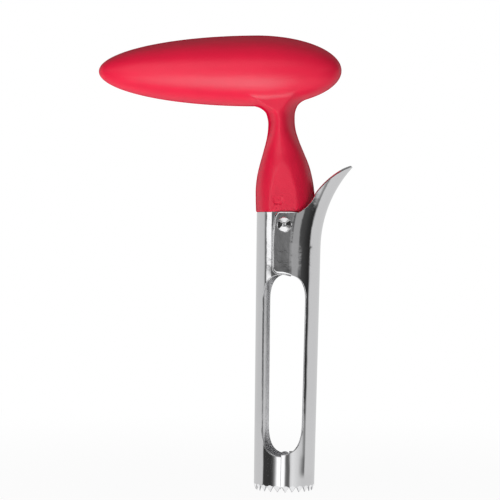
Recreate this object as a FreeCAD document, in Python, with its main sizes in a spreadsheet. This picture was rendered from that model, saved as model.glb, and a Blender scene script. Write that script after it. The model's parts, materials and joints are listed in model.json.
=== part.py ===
import FreeCAD, Part
import math
import os
import Sketcher
from FreeCAD import Placement, Rotation, Vector

# Apple corer: a toothed barrel of two steel half tubes under a hollow T grip.
# One half tube is fixed to the handle. The other swings on a rivet, pushed by its thumb lever.
# Millimetres. The origin is on the barrel's axis at the tooth tips, +Z runs up to the grip,
# +X points to the thumb lever and -Y is the front.

doc = FreeCAD.newDocument("apple_corer")
sheet = doc.addObject("Spreadsheet::Sheet", "Sizes")

SIZES = [
    # barrel
    ("barrel_radius", 12.7, "outer radius of the closed barrel"),
    ("steel", 1.0, "thickness of the steel sheet"),
    ("seat_z", 116.2, "top of the barrel, where the handle sits on it"),
    ("tooth_count", 24, "teeth round the mouth"),
    ("tooth_depth", 2.2, "height of a tooth"),
    ("tooth_turn", 9.0, "degrees from the front to the nearest tooth tip"),
    ("tooth_root_height", 0.94, "height where a notch's sides end, of the tooth's"),
    ("tooth_width", 0.94, "width of a notch at the tips, of the pitch"),
    ("tooth_root_width", 0.16, "width of a notch at its root, of its width at the tips"),
    ("bevel_depth", 0.75, "how much the ground edge thins the sheet at the tips"),
    ("bevel_height", 2.4, "height of the ground edge"),
    ("window_top_z", 90.2, "top of the window through the barrel"),
    ("window_bottom_z", 14.8, "bottom of the window in the fixed half"),
    ("window_step", 0.9, "how much higher the window's bottom is in the moving half"),
    ("window_half_angle", 42.0, "half of the window's width, in degrees round the barrel"),
    ("window_arch", 10.7, "height of the window's rounded top"),
    ("window_foot", 12.5, "height of the window's rounded bottom"),
    ("middle_z", 50.0, "where the lower and upper sections of each half meet"),
    # fixed half
    ("flat_reach", 3.6, "how far the flats run past the axis towards the lever"),
    ("flat_corner", 1.5, "how much of a flat's top corner is cut off, clear of the swinging half"),
    ("fixed_lap_x", 1.5, "how far the fixed half runs under the lap strips"),
    ("tab_left_x", -3.0, "left side of the tab beside the back seam, in the window's bottom"),
    ("tab_right_x", 0.2, "right side of the tab"),
    ("tab_shoulder", 0.3, "height of the tab's corners above the window's bottom"),
    ("tab_round", 2.4, "radius of the tab's rounded top"),
    # moving half
    ("lap_gap", 0.1, "gap between the lap strips and the fixed half"),
    ("ear_gap", 0.1, "gap between an ear and the flat under it"),
    ("lap_edge_x", 0.2, "free edge of the lap strips"),
    ("joggle_start", 9.8, "degrees from the front to the foot of the joggle"),
    ("joggle_end", 17.5, "degrees from the front to where the joggle meets the tube"),
    ("joggle_skew", 1.3, "degrees that the joggle's inner corners lie nearer the front"),
    ("cheek_x", 2.3, "where an ear's flat bends towards the tube, from the half's own axis"),
    ("cheek_inset", 0.19, "how far a cheek's inner bend lies nearer the edge, in sheets"),
    ("cheek_end", 24.2, "degrees from the front to where the bent cheek meets the tube"),
    ("lean", 0.9, "degrees that the moving half leans away from the fixed half"),
    ("lean_z", 7.0, "height where both halves share one axis"),
    ("ear_bottom_z", 90.3, "lower edge of the ear"),
    ("ear_top_z", 116.1, "upper edge of the ear"),
    ("ear_reach_top", 5.5, "reach of the ear past the axis at its top"),
    ("ear_reach_bottom", 5.9, "reach of the ear past the axis at its bottom"),
    ("ear_corner", 2.5, "radius of the ear's corners"),
    ("bend_z", 102.0, "height where the thumb lever starts to bend out"),
    ("bend_radius", 51.0, "radius of the lever's bend at its back"),
    ("bend_angle", 47.0, "degrees that the lever bends out"),
    ("lever_foot_x", 4.6, "where the lever's edge leaves the top of the ear"),
    ("lever_neck_x", 11.35, "where the lever's edge turns out"),
    ("lever_neck_z", 124.25, "height of that turn"),
    ("lever_tip_x", 24.7, "reach of the lever's tip"),
    ("lever_tip_z", 136.0, "height of the lever's tip"),
    ("lever_hollow", 15.0, "radius of the lever's edge below the turn"),
    ("lever_crown", 36.0, "radius of the lever's edge above the turn"),
    ("lever_tip_round", 11.0, "radius of the tip, seen from the lever's side"),
    # pivot rivet
    ("pivot_x", 0.6, "rivet axis from the barrel's axis"),
    ("pivot_z", 110.9, "height of the rivet axis"),
    ("rivet_radius", 1.9, "shank of the rivet's post"),
    ("rivet_gap", 0.05, "running clearance round the shank and under the heads"),
    ("rivet_head_radius", 3.25, "rivet head"),
    ("rivet_head_height", 0.9, "rivet head"),
    ("rivet_dish", 0.4, "depth of the dish in the head"),
    ("rivet_bore", 1.1, "bore of the post, filled by the pin"),
    ("rivet_dish_share", 0.87, "radius of the dish, of the head's"),
    ("rivet_dimple", 0.02, "radius of the flat in the middle of the dish"),
    ("rivet_end_gap", 0.2, "gap between the post's end and the back ear's face"),
    ("rivet_press", 0.01, "gap between the pin and the post's bore"),
    ("rivet_pin_depth", 14.0, "how far the pin goes into the post"),
    # handle
    ("grip_x", -13.9, "thickest section of the grip"),
    ("grip_z", 175.6, "axis of the grip"),
    ("grip_long_end", 67.6, "length of the grip on the long side"),
    ("grip_short_end", 36.2, "length of the grip on the lever's side"),
    ("grip_half_height", 14.9, "half the height of the grip"),
    ("grip_half_depth", 13.2, "half the depth of the grip, front to back"),
    ("wall", 2.4, "wall of the handle shells"),
    ("lip", 1.1, "width and depth of the lip along the shells' joint"),
    ("lip_gap", 0.1, "gap round the lip"),
    ("lip_land", 0.3, "how far the lip stands out from the shells' inner face"),
    ("facet_step", 0.25, "how far the stem's flats lie behind the barrel's flats"),
    ("facet_slope", 4.4, "degrees that the flats on the stem lean in"),
    ("rib_thickness", 1.6, "ribs inside the shells"),
    ("rib_gap", 1.4, "gap between the ribs and the plane where the shells meet"),
    ("rib_1_x", -48.0, "ribs, from the grip's thickest section"),
    ("rib_2_x", -36.0, "second rib"),
    ("rib_3_x", -22.0, "third rib"),
    ("rib_4_x", -8.0, "fourth rib"),
    ("rib_5_x", 23.5, "fifth rib"),
    ("peg_1_x", -54.0, "locating pegs, from the grip's thickest section"),
    ("peg_1_z", 0.0, "height of a peg from the grip's axis"),
    ("peg_2_x", -15.0, "second peg"),
    ("peg_2_z", 8.6, "second peg"),
    ("peg_3_x", -15.0, "third peg"),
    ("peg_3_z", -8.6, "third peg"),
    ("peg_4_x", 28.0, "fourth peg"),
    ("peg_4_z", 0.0, "fourth peg"),
    ("boss_radius", 3.2, "bosses of the locating pegs"),
    ("peg_radius", 1.6, "locating pegs"),
    ("peg_length", 5.0, "how far a peg stands out of the back shell"),
    ("peg_gap", 0.08, "gap round a peg"),
    ("peg_end_gap", 0.32, "gap past the end of a peg"),
    # core
    ("core_gap", 0.08, "gap between the core and what holds it"),
    ("column_gap", 0.35, "gap between the core's column and the stem's wall"),
    ("plug_depth", 22.0, "depth of the core's plug in the barrel"),
    ("plug_reach", 8.2, "reach of the plug towards the moving half"),
    ("bar_half_height", 5.0, "half the height of the core's cross bar"),
    ("bar_half_depth", 5.0, "half the depth of the core's cross bar"),
    ("bar_long_end", 42.0, "reach of the cross bar on the long side"),
    ("bar_short_end", 21.0, "reach of the cross bar on the lever's side"),
    ("column_left", -8.0, "left side of the column in the stem's neck"),
    ("column_right", 2.4, "right side of the column in the stem's neck"),
    ("column_foot", 26.0, "height of the column's wide foot, which fills the stem"),
]

# Sections of the stem from the seat to the grip: height above the seat, then the left and
# right edges seen from the front and the half depth.
STEM_LEVELS = [
    (0.0, -13.05, 11.65, 12.75),
    (5.0, -13.25, 11.65, 12.35),
    (10.0, -13.3, 11.2, 11.65),
    (15.0, -12.8, 10.3, 10.75),
    (20.0, -11.7, 8.9, 9.9),
    (25.0, -10.35, 6.8, 8.85),
    (30.0, -9.1, 4.7, 7.4),
    (34.5, -8.45, 3.25, 6.5),
    (39.0, -8.6, 2.75, 6.2),
    (42.5, -10.15, 3.0, 6.5),
    (45.0, -13.8, 4.0, 7.6),
    (48.5, -19.5, 6.4, 9.4),
    (52.5, -23.0, 8.5, 10.5),
]

row = 1
for alias, number, meaning in SIZES:
    sheet.set("A%d" % row, meaning)
    sheet.set("B%d" % row, str(number))
    sheet.setAlias("B%d" % row, alias)
    row += 1
for index, level in enumerate(STEM_LEVELS):
    for part_name, number in zip(("rise", "left", "right", "depth"), level):
        sheet.set("A%d" % row, "stem section %d, %s" % (index + 1, part_name))
        sheet.set("B%d" % row, str(number))
        sheet.setAlias("B%d" % row, "stem_%s_%d" % (part_name, index + 1))
        row += 1
doc.recompute()


class Size:
    """A number together with the expression that ties it to the sheet."""

    def __init__(self, value, text):
        self.value = value
        self.text = text

    def __add__(self, other):
        other = plain(other)
        return Size(self.value + other.value, "(%s + %s)" % (self.text, other.text))

    def __sub__(self, other):
        other = plain(other)
        return Size(self.value - other.value, "(%s - %s)" % (self.text, other.text))

    def __mul__(self, other):
        other = plain(other)
        return Size(self.value * other.value, "%s * %s" % (self.text, other.text))

    def __rsub__(self, other):
        return plain(other) - self

    def __neg__(self):
        return Size(-self.value, "(-1 * %s)" % self.text)


def plain(number):
    """A bare number as a Size."""
    if isinstance(number, Size):
        return number
    return Size(float(number), "(%.6f)" % number)


def size(alias):
    return Size(float(sheet.get(alias)), "Sizes.%s" % alias)


def root(number):
    return Size(math.sqrt(number.value), "sqrt(%s)" % number.text)


def sine(angle):
    return Size(math.sin(math.radians(angle.value)), "sin(%s)" % angle.text)


def cosine(angle):
    return Size(math.cos(math.radians(angle.value)), "cos(%s)" % angle.text)


def bind(item, prop, number):
    """Sets a property to a size and ties it to the sheet."""
    number = plain(number)
    item.setExpression(prop, number.text)


def box(name, low, high):
    """A box between two corners."""
    item = doc.addObject("Part::Box", name)
    for prop, axis, a, b in zip(("Length", "Width", "Height"), "xyz", low, high):
        bind(item, prop, plain(b) - a)
        bind(item, "Placement.Base.%s" % axis, a)
    return item


TURNS = {
    "x": Rotation(Vector(0, 1, 0), 90),
    "y": Rotation(Vector(1, 0, 0), -90),
    "z": Rotation(),
}


def rod(name, radius, start, length, axis="z", at=(0, 0, 0)):
    """A cylinder along +X, +Y or +Z that starts at the given distance along its axis."""
    item = doc.addObject("Part::Cylinder", name)
    bind(item, "Radius", radius)
    bind(item, "Height", length)
    item.Placement = Placement(Vector(0, 0, 0), TURNS[axis])
    for letter, number in zip("xyz", at):
        bind(item, "Placement.Base.%s" % letter, start if letter == axis else number)
    return item


def cut(name, base, tool):
    item = doc.addObject("Part::Cut", name)
    item.Base = base
    item.Tool = tool
    item.Refine = True
    return item


def fuse(name, *shapes):
    item = doc.addObject("Part::MultiFuse", name)
    item.Shapes = list(shapes)
    item.Refine = True
    return item


def common(name, *shapes):
    item = doc.addObject("Part::MultiCommon", name)
    item.Shapes = list(shapes)
    item.Refine = True
    return item


def mirror(name, base):
    """The image of a shape on the other side of the plane Y = 0."""
    item = doc.addObject("Part::Mirroring", name)
    item.Source = base
    item.Normal = Vector(0, 1, 0)
    return item


def form(name, shape):
    """A shape worked out from the sheet's numbers."""
    item = doc.addObject("Part::Feature", name)
    item.Shape = shape
    return item


def outline(name, points, bows=None, upright=False):
    """A closed sketch through the points. bows gives an edge's radius and the side of its
    centre: 1 is left of the way from its first point to its second, -1 is right."""
    bows = bows or {}
    sketch = doc.addObject("Sketcher::SketchObject", name)
    if upright:
        sketch.Placement = Placement(Vector(0, 0, 0), Rotation(Vector(1, 0, 0), 90))
    spots = [Vector(x.value, y.value, 0) for x, y in points]
    starts = []
    ends = []
    for index, first in enumerate(spots):
        last = spots[(index + 1) % len(spots)]
        if index in bows:
            radius, side = bows[index]
            chord = last - first
            left = Vector(-chord.y, chord.x, 0).normalize()
            reach = math.sqrt(max(radius.value ** 2 - (chord.Length / 2) ** 2, 0))
            centre = (first + last) * 0.5 + left * (side * reach)
            angles = [math.atan2(p.y - centre.y, p.x - centre.x) for p in (first, last)]
            if side < 0:
                angles.reverse()
            circle = Part.Circle(centre, Vector(0, 0, 1), radius.value)
            edge = sketch.addGeometry(Part.ArcOfCircle(circle, angles[0], angles[1]))
            starts.append((edge, 1 if side > 0 else 2))
            ends.append((edge, 2 if side > 0 else 1))
        else:
            edge = sketch.addGeometry(Part.LineSegment(first, last))
            starts.append((edge, 1))
            ends.append((edge, 2))
    for index in range(len(spots)):
        following = starts[(index + 1) % len(spots)]
        sketch.addConstraint(Sketcher.Constraint("Coincident", *ends[index], *following))
    for index, (x, y) in enumerate(points):
        for kind, number in (("DistanceX", x), ("DistanceY", y)):
            mark = sketch.addConstraint(
                Sketcher.Constraint(kind, -1, 1, *starts[index], number.value))
            sketch.setExpression("Constraints[%d]" % mark, number.text)
    for index, (radius, side) in bows.items():
        mark = sketch.addConstraint(Sketcher.Constraint("Radius", index, radius.value))
        sketch.setExpression("Constraints[%d]" % mark, radius.text)
    return sketch


def rise(name, sketch, low, high):
    """A sketch on the XY plane drawn up between two heights."""
    item = doc.addObject("Part::Extrusion", name)
    item.Base = sketch
    item.DirMode = "Custom"
    item.Dir = Vector(0, 0, 1)
    item.Solid = True
    bind(item, "LengthFwd", plain(high) - low)
    bind(item, "Placement.Base.z", low)
    return item


def through(name, sketch, depth):
    """A sketch on the XZ plane drawn to both sides of it."""
    item = doc.addObject("Part::Extrusion", name)
    item.Base = sketch
    item.DirMode = "Custom"
    item.Dir = Vector(0, 1, 0)
    item.Solid = True
    item.Symmetric = True
    bind(item, "LengthFwd", depth)
    return item


R = size("barrel_radius")
STEEL = size("steel")
INNER = R - STEEL
SEAT = size("seat_z")
FLAT = INNER - size("ear_gap")
LAP_INNER = R + size("lap_gap")
LAP_OUTER = LAP_INNER + STEEL
MIDDLE = size("middle_z")
ZERO = plain(0)
FAR = 60.0  # past the barrel on every side
OVER = plain(1)  # how far joined or cutting shapes run into each other
CUT_FROM = 5.0  # cutting shapes that point at the axis start and end at these depths,
CUT_TO = 17.0  # inside and outside the sheet


def on_circle(radius, angle):
    """A point of the front half, by its angle from the front."""
    return radius * sine(angle), -(radius * cosine(angle))


def beside(x, radius):
    """The point of the front half with the given X on a circle about the axis."""
    return x, -root(radius * radius - x * x)


def mirrored(points):
    """A front outline followed by its image at the back."""
    return points + [(x, -y) for x, y in reversed(points)]


def window(bottom_z):
    """The window cut through one half: its edges run straight at the barrel's axis."""
    top = size("window_top_z").value
    arch = size("window_arch").value
    foot = size("window_foot").value
    spread = math.tan(math.radians(size("window_half_angle").value))
    bottom = bottom_z.value
    pull = 0.5523  # makes the curves quarters of an ellipse
    loops = []
    for depth in (CUT_FROM, CUT_TO):
        half = depth * spread

        def spot(x, z):
            return Vector(x, -depth, z)

        def quarter(x0, z0, x1, z1, level_first):
            if level_first:
                poles = (spot(x0, z0), spot(x0 + pull * (x1 - x0), z0),
                         spot(x1, z1 - pull * (z1 - z0)), spot(x1, z1))
            else:
                poles = (spot(x0, z0), spot(x0, z0 + pull * (z1 - z0)),
                         spot(x1 - pull * (x1 - x0), z1), spot(x1, z1))
            curve = Part.BezierCurve()
            curve.setPoles(list(poles))
            return curve.toShape()

        edges = [
            quarter(0, bottom, half, bottom + foot, True),
            Part.makeLine(spot(half, bottom + foot), spot(half, top - arch)),
            quarter(half, top - arch, 0, top, False),
            quarter(0, top, -half, top - arch, True),
            Part.makeLine(spot(-half, top - arch), spot(-half, bottom + foot)),
            quarter(-half, bottom + foot, 0, bottom, False),
        ]
        loops.append(Part.Wire(edges))
    front = Part.makeLoft(loops, True, True)
    back = front.mirror(Vector(0, 0, 0), Vector(0, 1, 0))
    return Part.makeCompound([front, back])


def gullets():
    """The notches between the teeth, all round the mouth."""
    count = int(round(size("tooth_count").value))
    depth = size("tooth_depth").value
    turn = size("tooth_turn").value
    share = size("tooth_width").value
    root_share = size("tooth_root_width").value
    shoulder = depth * size("tooth_root_height").value
    below = -OVER.value
    pitch = 360.0 / count
    notches = []
    for index in range(count):
        loops = []
        for reach in (CUT_FROM, CUT_TO):
            wide = share * reach * math.tan(math.radians(pitch / 2))
            narrow = root_share * wide
            corners = [(-wide, below), (-wide, 0), (-narrow, shoulder), (0, depth),
                       (narrow, shoulder), (wide, 0), (wide, below)]
            points = [Vector(x, -reach, z) for x, z in corners]
            loops.append(Part.makePolygon(points + points[:1]))
        notch = Part.makeLoft(loops, True, True)
        notch.rotate(Vector(0, 0, 0), Vector(0, 0, 1), turn + (index + 0.5) * pitch)
        notches.append(notch)
    return Part.makeCompound(notches)


def bevel(name, radius):
    """The ring that is ground off outside the tips."""
    tall = size("bevel_height")
    ring = rod(name + "_ring", radius + STEEL + OVER, 0, tall)
    cone = doc.addObject("Part::Cone", name + "_cone")
    bind(cone, "Radius1", radius - size("bevel_depth"))
    bind(cone, "Radius2", radius)
    bind(cone, "Height", tall)
    return cut(name, ring, cone)


notches = form("tooth_gullets", gullets())
tube_bevel = bevel("tube_bevel", R)

# Fixed half: the left of the tube, with a flat pressed into its front and back at the top.
flat_root_x = -root(R * R - FLAT * FLAT)
flat_inner = FLAT - STEEL
flat_inner_root_x = -root(INNER * INNER - flat_inner * flat_inner)
flat_end = size("flat_reach")
upper_fixed_section = outline("fixed_upper_section", [
    (flat_end, -FLAT), (flat_root_x, -FLAT), (-R, ZERO), (flat_root_x, FLAT),
    (flat_end, FLAT), (flat_end, flat_inner), (flat_inner_root_x, flat_inner),
    (-INNER, ZERO), (flat_inner_root_x, -flat_inner), (flat_end, -flat_inner),
], {1: (R, -1), 2: (R, -1), 6: (INNER, 1), 7: (INNER, 1)})
lap_x = size("fixed_lap_x")
lower_fixed_section = outline("fixed_lower_section", [
    beside(lap_x, R), (ZERO, -R), (-R, ZERO), (ZERO, R),
    (lap_x, -beside(lap_x, R)[1]), (lap_x, -beside(lap_x, INNER)[1]),
    (ZERO, INNER), (-INNER, ZERO), (ZERO, -INNER), beside(lap_x, INNER),
], {0: (R, -1), 1: (R, -1), 2: (R, -1), 3: (R, -1),
    5: (INNER, 1), 6: (INNER, 1), 7: (INNER, 1), 8: (INNER, 1)})
fixed_sheet = fuse("fixed_sheet",
                   rise("fixed_lower", lower_fixed_section, ZERO, MIDDLE),
                   rise("fixed_upper", upper_fixed_section, MIDDLE, SEAT))
fixed_bottom = size("window_bottom_z")
tab_left = size("tab_left_x")
tab_right = size("tab_right_x")
tab_low = fixed_bottom - OVER
tab_side = fixed_bottom + size("tab_shoulder")
tab = outline("tab_outline", [
    (tab_left, tab_low), (tab_right, tab_low), (tab_right, tab_side), (tab_left, tab_side),
], {2: (size("tab_round"), 1)}, upright=True)
back_tab = common("back_tab", through("tab", tab, FAR),
                  box("back_side", (-FAR, 0, 0), (FAR, FAR, FAR)))
fixed_window = cut("fixed_window", form("fixed_window_blank", window(fixed_bottom)), back_tab)
pivot_x = size("pivot_x")
pivot_z = size("pivot_z")
pivot_hole = rod("pivot_hole", size("rivet_radius") + size("rivet_gap"), -FAR / 2, FAR, "y",
                 (pivot_x, 0, pivot_z))
corner_rise = SEAT - pivot_z
flat_corner = outline("flat_corner", [
    (flat_end, pivot_z), (flat_end + OVER, pivot_z), (flat_end + OVER, SEAT + corner_rise),
    (flat_end - size("flat_corner") * 2, SEAT + corner_rise),
], {}, upright=True)
fixed_cuts = fuse("fixed_cuts", fixed_window, notches, tube_bevel, pivot_hole,
                  through("flat_corners", flat_corner, FAR))
fixed_half = cut("fixed_half", fixed_sheet, fixed_cuts)

# Moving half: the right of the tube, with an ear over each flat, lap strips at the mouth
# and the thumb lever that bends out at the top. It is drawn upright and then leaned.
ear_limit = -(size("ear_reach_bottom") + OVER * 3)
cheek_x = size("cheek_x")
cheek_end = on_circle(R, size("cheek_end"))
cheek_inner_end = on_circle(INNER, size("cheek_end"))
cheek_inner_x = cheek_x - STEEL * size("cheek_inset")
upper_moving_points = mirrored([(ear_limit, -R), (cheek_x, -R), cheek_end])
upper_moving_points.insert(3, (R, ZERO))
inner_points = mirrored([(ear_limit, -INNER), (cheek_inner_x, -INNER), cheek_inner_end])
inner_points.insert(3, (INNER, ZERO))
upper_moving_points += inner_points[::-1]
upper_moving_section = outline("moving_upper_section", upper_moving_points,
                               {2: (R, 1), 3: (R, 1), 9: (INNER, -1), 10: (INNER, -1)})
joggle_start = size("joggle_start")
joggle_end = size("joggle_end")
skew = size("joggle_skew")
lap_edge = size("lap_edge_x")
lower_moving_points = mirrored([
    beside(lap_edge, LAP_OUTER), on_circle(LAP_OUTER, joggle_start), on_circle(R, joggle_end)])
lower_moving_points.insert(3, (R, ZERO))
inner_points = mirrored([
    beside(lap_edge, LAP_INNER), on_circle(LAP_INNER, joggle_start - skew),
    on_circle(INNER, joggle_end - skew)])
inner_points.insert(3, (INNER, ZERO))
lower_moving_points += inner_points[::-1]
lower_moving_section = outline(
    "moving_lower_section", lower_moving_points,
    {0: (LAP_OUTER, 1), 2: (R, 1), 3: (R, 1), 5: (LAP_OUTER, 1),
     7: (LAP_INNER, -1), 9: (INNER, -1), 10: (INNER, -1), 12: (LAP_INNER, -1)})
bend_z = size("bend_z")
lever_bend = doc.addObject("Part::Revolution", "lever_bend")
lever_bend.Source = upper_moving_section
lever_bend.Axis = Vector(0, 1, 0)
lever_bend.Solid = True
bind(lever_bend, "Base.x", R + size("bend_radius"))
bind(lever_bend, "Angle", size("bend_angle"))
bind(lever_bend, "Placement.Base.z", bend_z)
moving_form = fuse("moving_form",
                   rise("moving_lower", lower_moving_section, -size("bevel_height"), MIDDLE),
                   rise("moving_upper", upper_moving_section, MIDDLE, bend_z),
                   lever_bend)

# What is trimmed off round the ears and the lever, seen from the front.
corner = size("ear_corner")
ear_low = size("ear_bottom_z")
ear_high = size("ear_top_z")
reach_low = size("ear_reach_bottom")
reach_high = size("ear_reach_top")
neck = (size("lever_neck_x"), size("lever_neck_z"))
tip = (size("lever_tip_x"), size("lever_tip_z"))
tip_cut = OVER * 6
edge_x = -OVER
trim_left = ear_limit - OVER
trim_low = ear_low - OVER * 30
trim_right = plain(FAR)
trim_high = tip[1] + OVER * 30
trim = outline("moving_trim", [
    (trim_left, trim_low), (edge_x, trim_low), (edge_x, ear_low),
    (corner - reach_low, ear_low), (-reach_low, ear_low + corner),
    (-reach_high, ear_high - corner), (corner - reach_high, ear_high),
    (size("lever_foot_x"), ear_high), neck, tip, (tip[0] + tip_cut, tip[1] - tip_cut),
    (trim_right, tip[1] - tip_cut), (trim_right, trim_high), (trim_left, trim_high),
], {3: (corner, -1), 5: (corner, -1), 7: (size("lever_hollow"), 1),
    8: (size("lever_crown"), -1)}, upright=True)
moving_window = form("moving_window", window(fixed_bottom + size("window_step")))
tip_round = size("lever_tip_round")
tip_centre = size("lever_tip_z") - tip_round
tip_blank = box("tip_blank", (ZERO, -FAR / 2, tip_centre), (plain(FAR), FAR / 2, tip_centre + FAR))
tip_end = cut("tip_end", tip_blank, rod("tip_rod", tip_round, 0, FAR, "x", (0, 0, tip_centre)))
moving_cuts = fuse("moving_cuts", through("moving_trim_block", trim, FAR), moving_window, tip_end)
moving_trimmed = cut("moving_trimmed", moving_form, moving_cuts)
lean = size("lean")
lean_z = size("lean_z")
moving_trimmed.Placement = Placement(Vector(0, 0, 0), Rotation(Vector(0, 1, 0), lean.value))
bind(moving_trimmed, "Placement.Rotation.Angle", lean)
bind(moving_trimmed, "Placement.Base.x", -(lean_z * sine(lean)))
bind(moving_trimmed, "Placement.Base.z", lean_z - lean_z * cosine(lean))
joggle_x = R * sine(joggle_end)
lap_side = box("lap_side", (-FAR, -FAR, -OVER), (joggle_x, FAR, FAR))
tube_side = box("tube_side", (joggle_x, -FAR, -OVER), (FAR, FAR, FAR))
ground = box("ground", (-FAR, -FAR, -FAR), (FAR, FAR, 0))
moving_edge = fuse("moving_edge", notches, pivot_hole, ground,
                   common("lap_bevel_part", bevel("lap_bevel", LAP_OUTER), lap_side),
                   common("tube_bevel_part", tube_bevel, tube_side))
moving_half = cut("moving_half", moving_trimmed, moving_edge)


# Handle: a hollow T grip on a stem that flattens over the ears, in two shells that meet on
# the plane Y = 0.


SEAM_TURN = 45  # keeps the seams of round surfaces off the plane where the shells meet


def stem_loop(z, left, right, depth, inset):
    """A level section of the stem, drawn in by the inset."""
    middle = (left + right) / 2
    wide = (right - left) / 2 - inset
    deep = depth - inset
    points_round = 12
    step = 360.0 / points_round
    turns = [math.radians(SEAM_TURN + step * index) for index in range(points_round)]
    points = [Vector(middle + wide * math.cos(a), deep * math.sin(a), z) for a in turns]
    curve = Part.BSplineCurve()
    curve.interpolate(points, PeriodicFlag=True)
    return Part.Wire([curve.toShape()])


def half_grip(length, inset, turn):
    """Half of the grip's egg, from its thickest section to one end."""
    ball = Part.makeSphere(1, Vector(0, 0, 0), Vector(0, 0, 1), 0, 90, 360)
    ball.rotate(Vector(0, 0, 0), Vector(0, 0, 1), SEAM_TURN)
    stretch = FreeCAD.Matrix()
    stretch.scale(size("grip_half_height").value - inset,
                  size("grip_half_depth").value - inset, length - inset)
    egg = ball.transformGeometry(stretch)
    egg.rotate(Vector(0, 0, 0), Vector(0, 1, 0), turn)
    egg.translate(Vector(size("grip_x").value, 0, size("grip_z").value))
    return egg


def facets(inset):
    """What is cut off the front and back of the stem, so that the ears can slide over it."""
    slope = size("facet_slope").value
    face = FLAT.value - size("facet_step").value - inset
    below, above, deep = 4.0, 30.0, 20.0
    front = Part.makeBox(FAR, deep, below + above, Vector(-FAR / 2, -deep, -below))
    front.rotate(Vector(0, 0, 0), Vector(1, 0, 0), -slope)
    front.translate(Vector(0, -face, SEAT.value))
    back = front.mirror(Vector(0, 0, 0), Vector(0, 1, 0))
    return [front, back]


def handle_form(inset, below):
    """The grip and stem as one solid, drawn in by the inset and run on below the seat."""
    loops = []
    for index in range(len(STEM_LEVELS)):
        numbers = [float(sheet.get("stem_%s_%d" % (kind, index + 1)))
                   for kind in ("rise", "left", "right", "depth")]
        z = SEAT.value + numbers[0]
        if index == 0 and below:
            loops.append(stem_loop(z - below, numbers[1], numbers[2], numbers[3], inset))
        loops.append(stem_loop(z, numbers[1], numbers[2], numbers[3], inset))
    stem = Part.makeLoft(loops, True, False)
    for facet in facets(inset):
        stem = stem.cut(facet)
    long_half = half_grip(size("grip_long_end").value, inset, -90)
    short_half = half_grip(size("grip_short_end").value, inset, 90)
    return long_half.fuse([short_half, stem]).removeSplitter()


wall = size("wall")
lip = size("lip")
lip_gap = size("lip_gap")
lip_land = size("lip_land")
grip_x = size("grip_x")
grip_z = size("grip_z")
rib_gap = size("rib_gap")
core_gap = size("core_gap")
handle_outside = form("handle_outside", handle_form(0, 0))
handle_inside = form("handle_inside", handle_form(wall.value, OVER.value))
lip_outside = form("lip_outside", handle_form((wall - lip).value, OVER.value))
lip_inside = form("lip_inside", handle_form((wall - lip_land).value, OVER.value))
recess_outside = form("recess_outside", handle_form((wall - lip - lip_gap).value, OVER.value))
front_side = box("front_side", (-FAR * 2, -FAR, 0), (FAR, 0, FAR * 4))
front_outside = common("front_outside", handle_outside, front_side)

# The core's cross bar and the space that the ribs leave round it
bar_high = size("bar_half_height")
bar_deep = size("bar_half_depth")
bar_left = grip_x - size("bar_long_end")
bar_right = grip_x + size("bar_short_end")
cross_bar = box("cross_bar", (bar_left, -bar_deep, grip_z - bar_high),
                (bar_right, bar_deep, grip_z + bar_high))
bar_space = box("bar_space",
                (bar_left - core_gap, -(bar_deep + core_gap), grip_z - bar_high - core_gap),
                (bar_right + core_gap, bar_deep + core_gap, grip_z + bar_high + core_gap))
rib = size("rib_thickness")
rib_places = [grip_x + size("rib_%d_x" % (index + 1)) for index in range(5)]
peg_places = [(grip_x + size("peg_%d_x" % (index + 1)), grip_z + size("peg_%d_z" % (index + 1)))
              for index in range(4)]
boss_radius = size("boss_radius")
peg_radius = size("peg_radius")
peg_length = size("peg_length")
rib_low = grip_z - size("grip_half_height")
rib_high = grip_z + size("grip_half_height")
rib_blanks = [box("rib_%d" % (index + 1), (x - rib * 0.5, -FAR, rib_low),
                  (x + rib * 0.5, -rib_gap, rib_high)) for index, x in enumerate(rib_places)]
boss_blanks = [rod("boss_%d" % (index + 1), boss_radius, plain(-FAR), FAR - rib_gap, "y",
                   (x, 0, z)) for index, (x, z) in enumerate(peg_places)]
rib_set = common("rib_set", fuse("rib_blanks", *rib_blanks, *boss_blanks), lip_outside)
ribs = cut("ribs", rib_set, bar_space)
half_wall = cut("half_wall", front_outside, handle_inside)
front_full = fuse("front_full", half_wall, ribs)
back_full = mirror("back_full", front_full)
lip_slab = box("lip_slab", (-FAR * 2, -lip, SEAT), (FAR, OVER, SEAT + FAR * 2))
lip_band = cut("lip_band", common("lip_plate", lip_outside, lip_slab), lip_inside)
recess_slab = box("recess_slab", (-FAR * 2, -(lip + lip_gap), SEAT - OVER * 2),
                  (FAR, OVER, SEAT + FAR * 2))
recess = common("recess", recess_outside, recess_slab)
socket_end = peg_length + size("peg_end_gap")
sockets = [rod("socket_%d" % (index + 1), peg_radius + size("peg_gap"), -socket_end,
               FAR, "y", (x, 0, z)) for index, (x, z) in enumerate(peg_places)]
pegs = [rod("peg_%d" % (index + 1), peg_radius, -peg_length, peg_length + rib_gap + OVER, "y",
            (x, 0, z)) for index, (x, z) in enumerate(peg_places)]
front_shell = cut("handle_front_shell", front_full, fuse("front_cuts", recess, *sockets))
back_shell = fuse("handle_back_shell", back_full, lip_band, *pegs)

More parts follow.
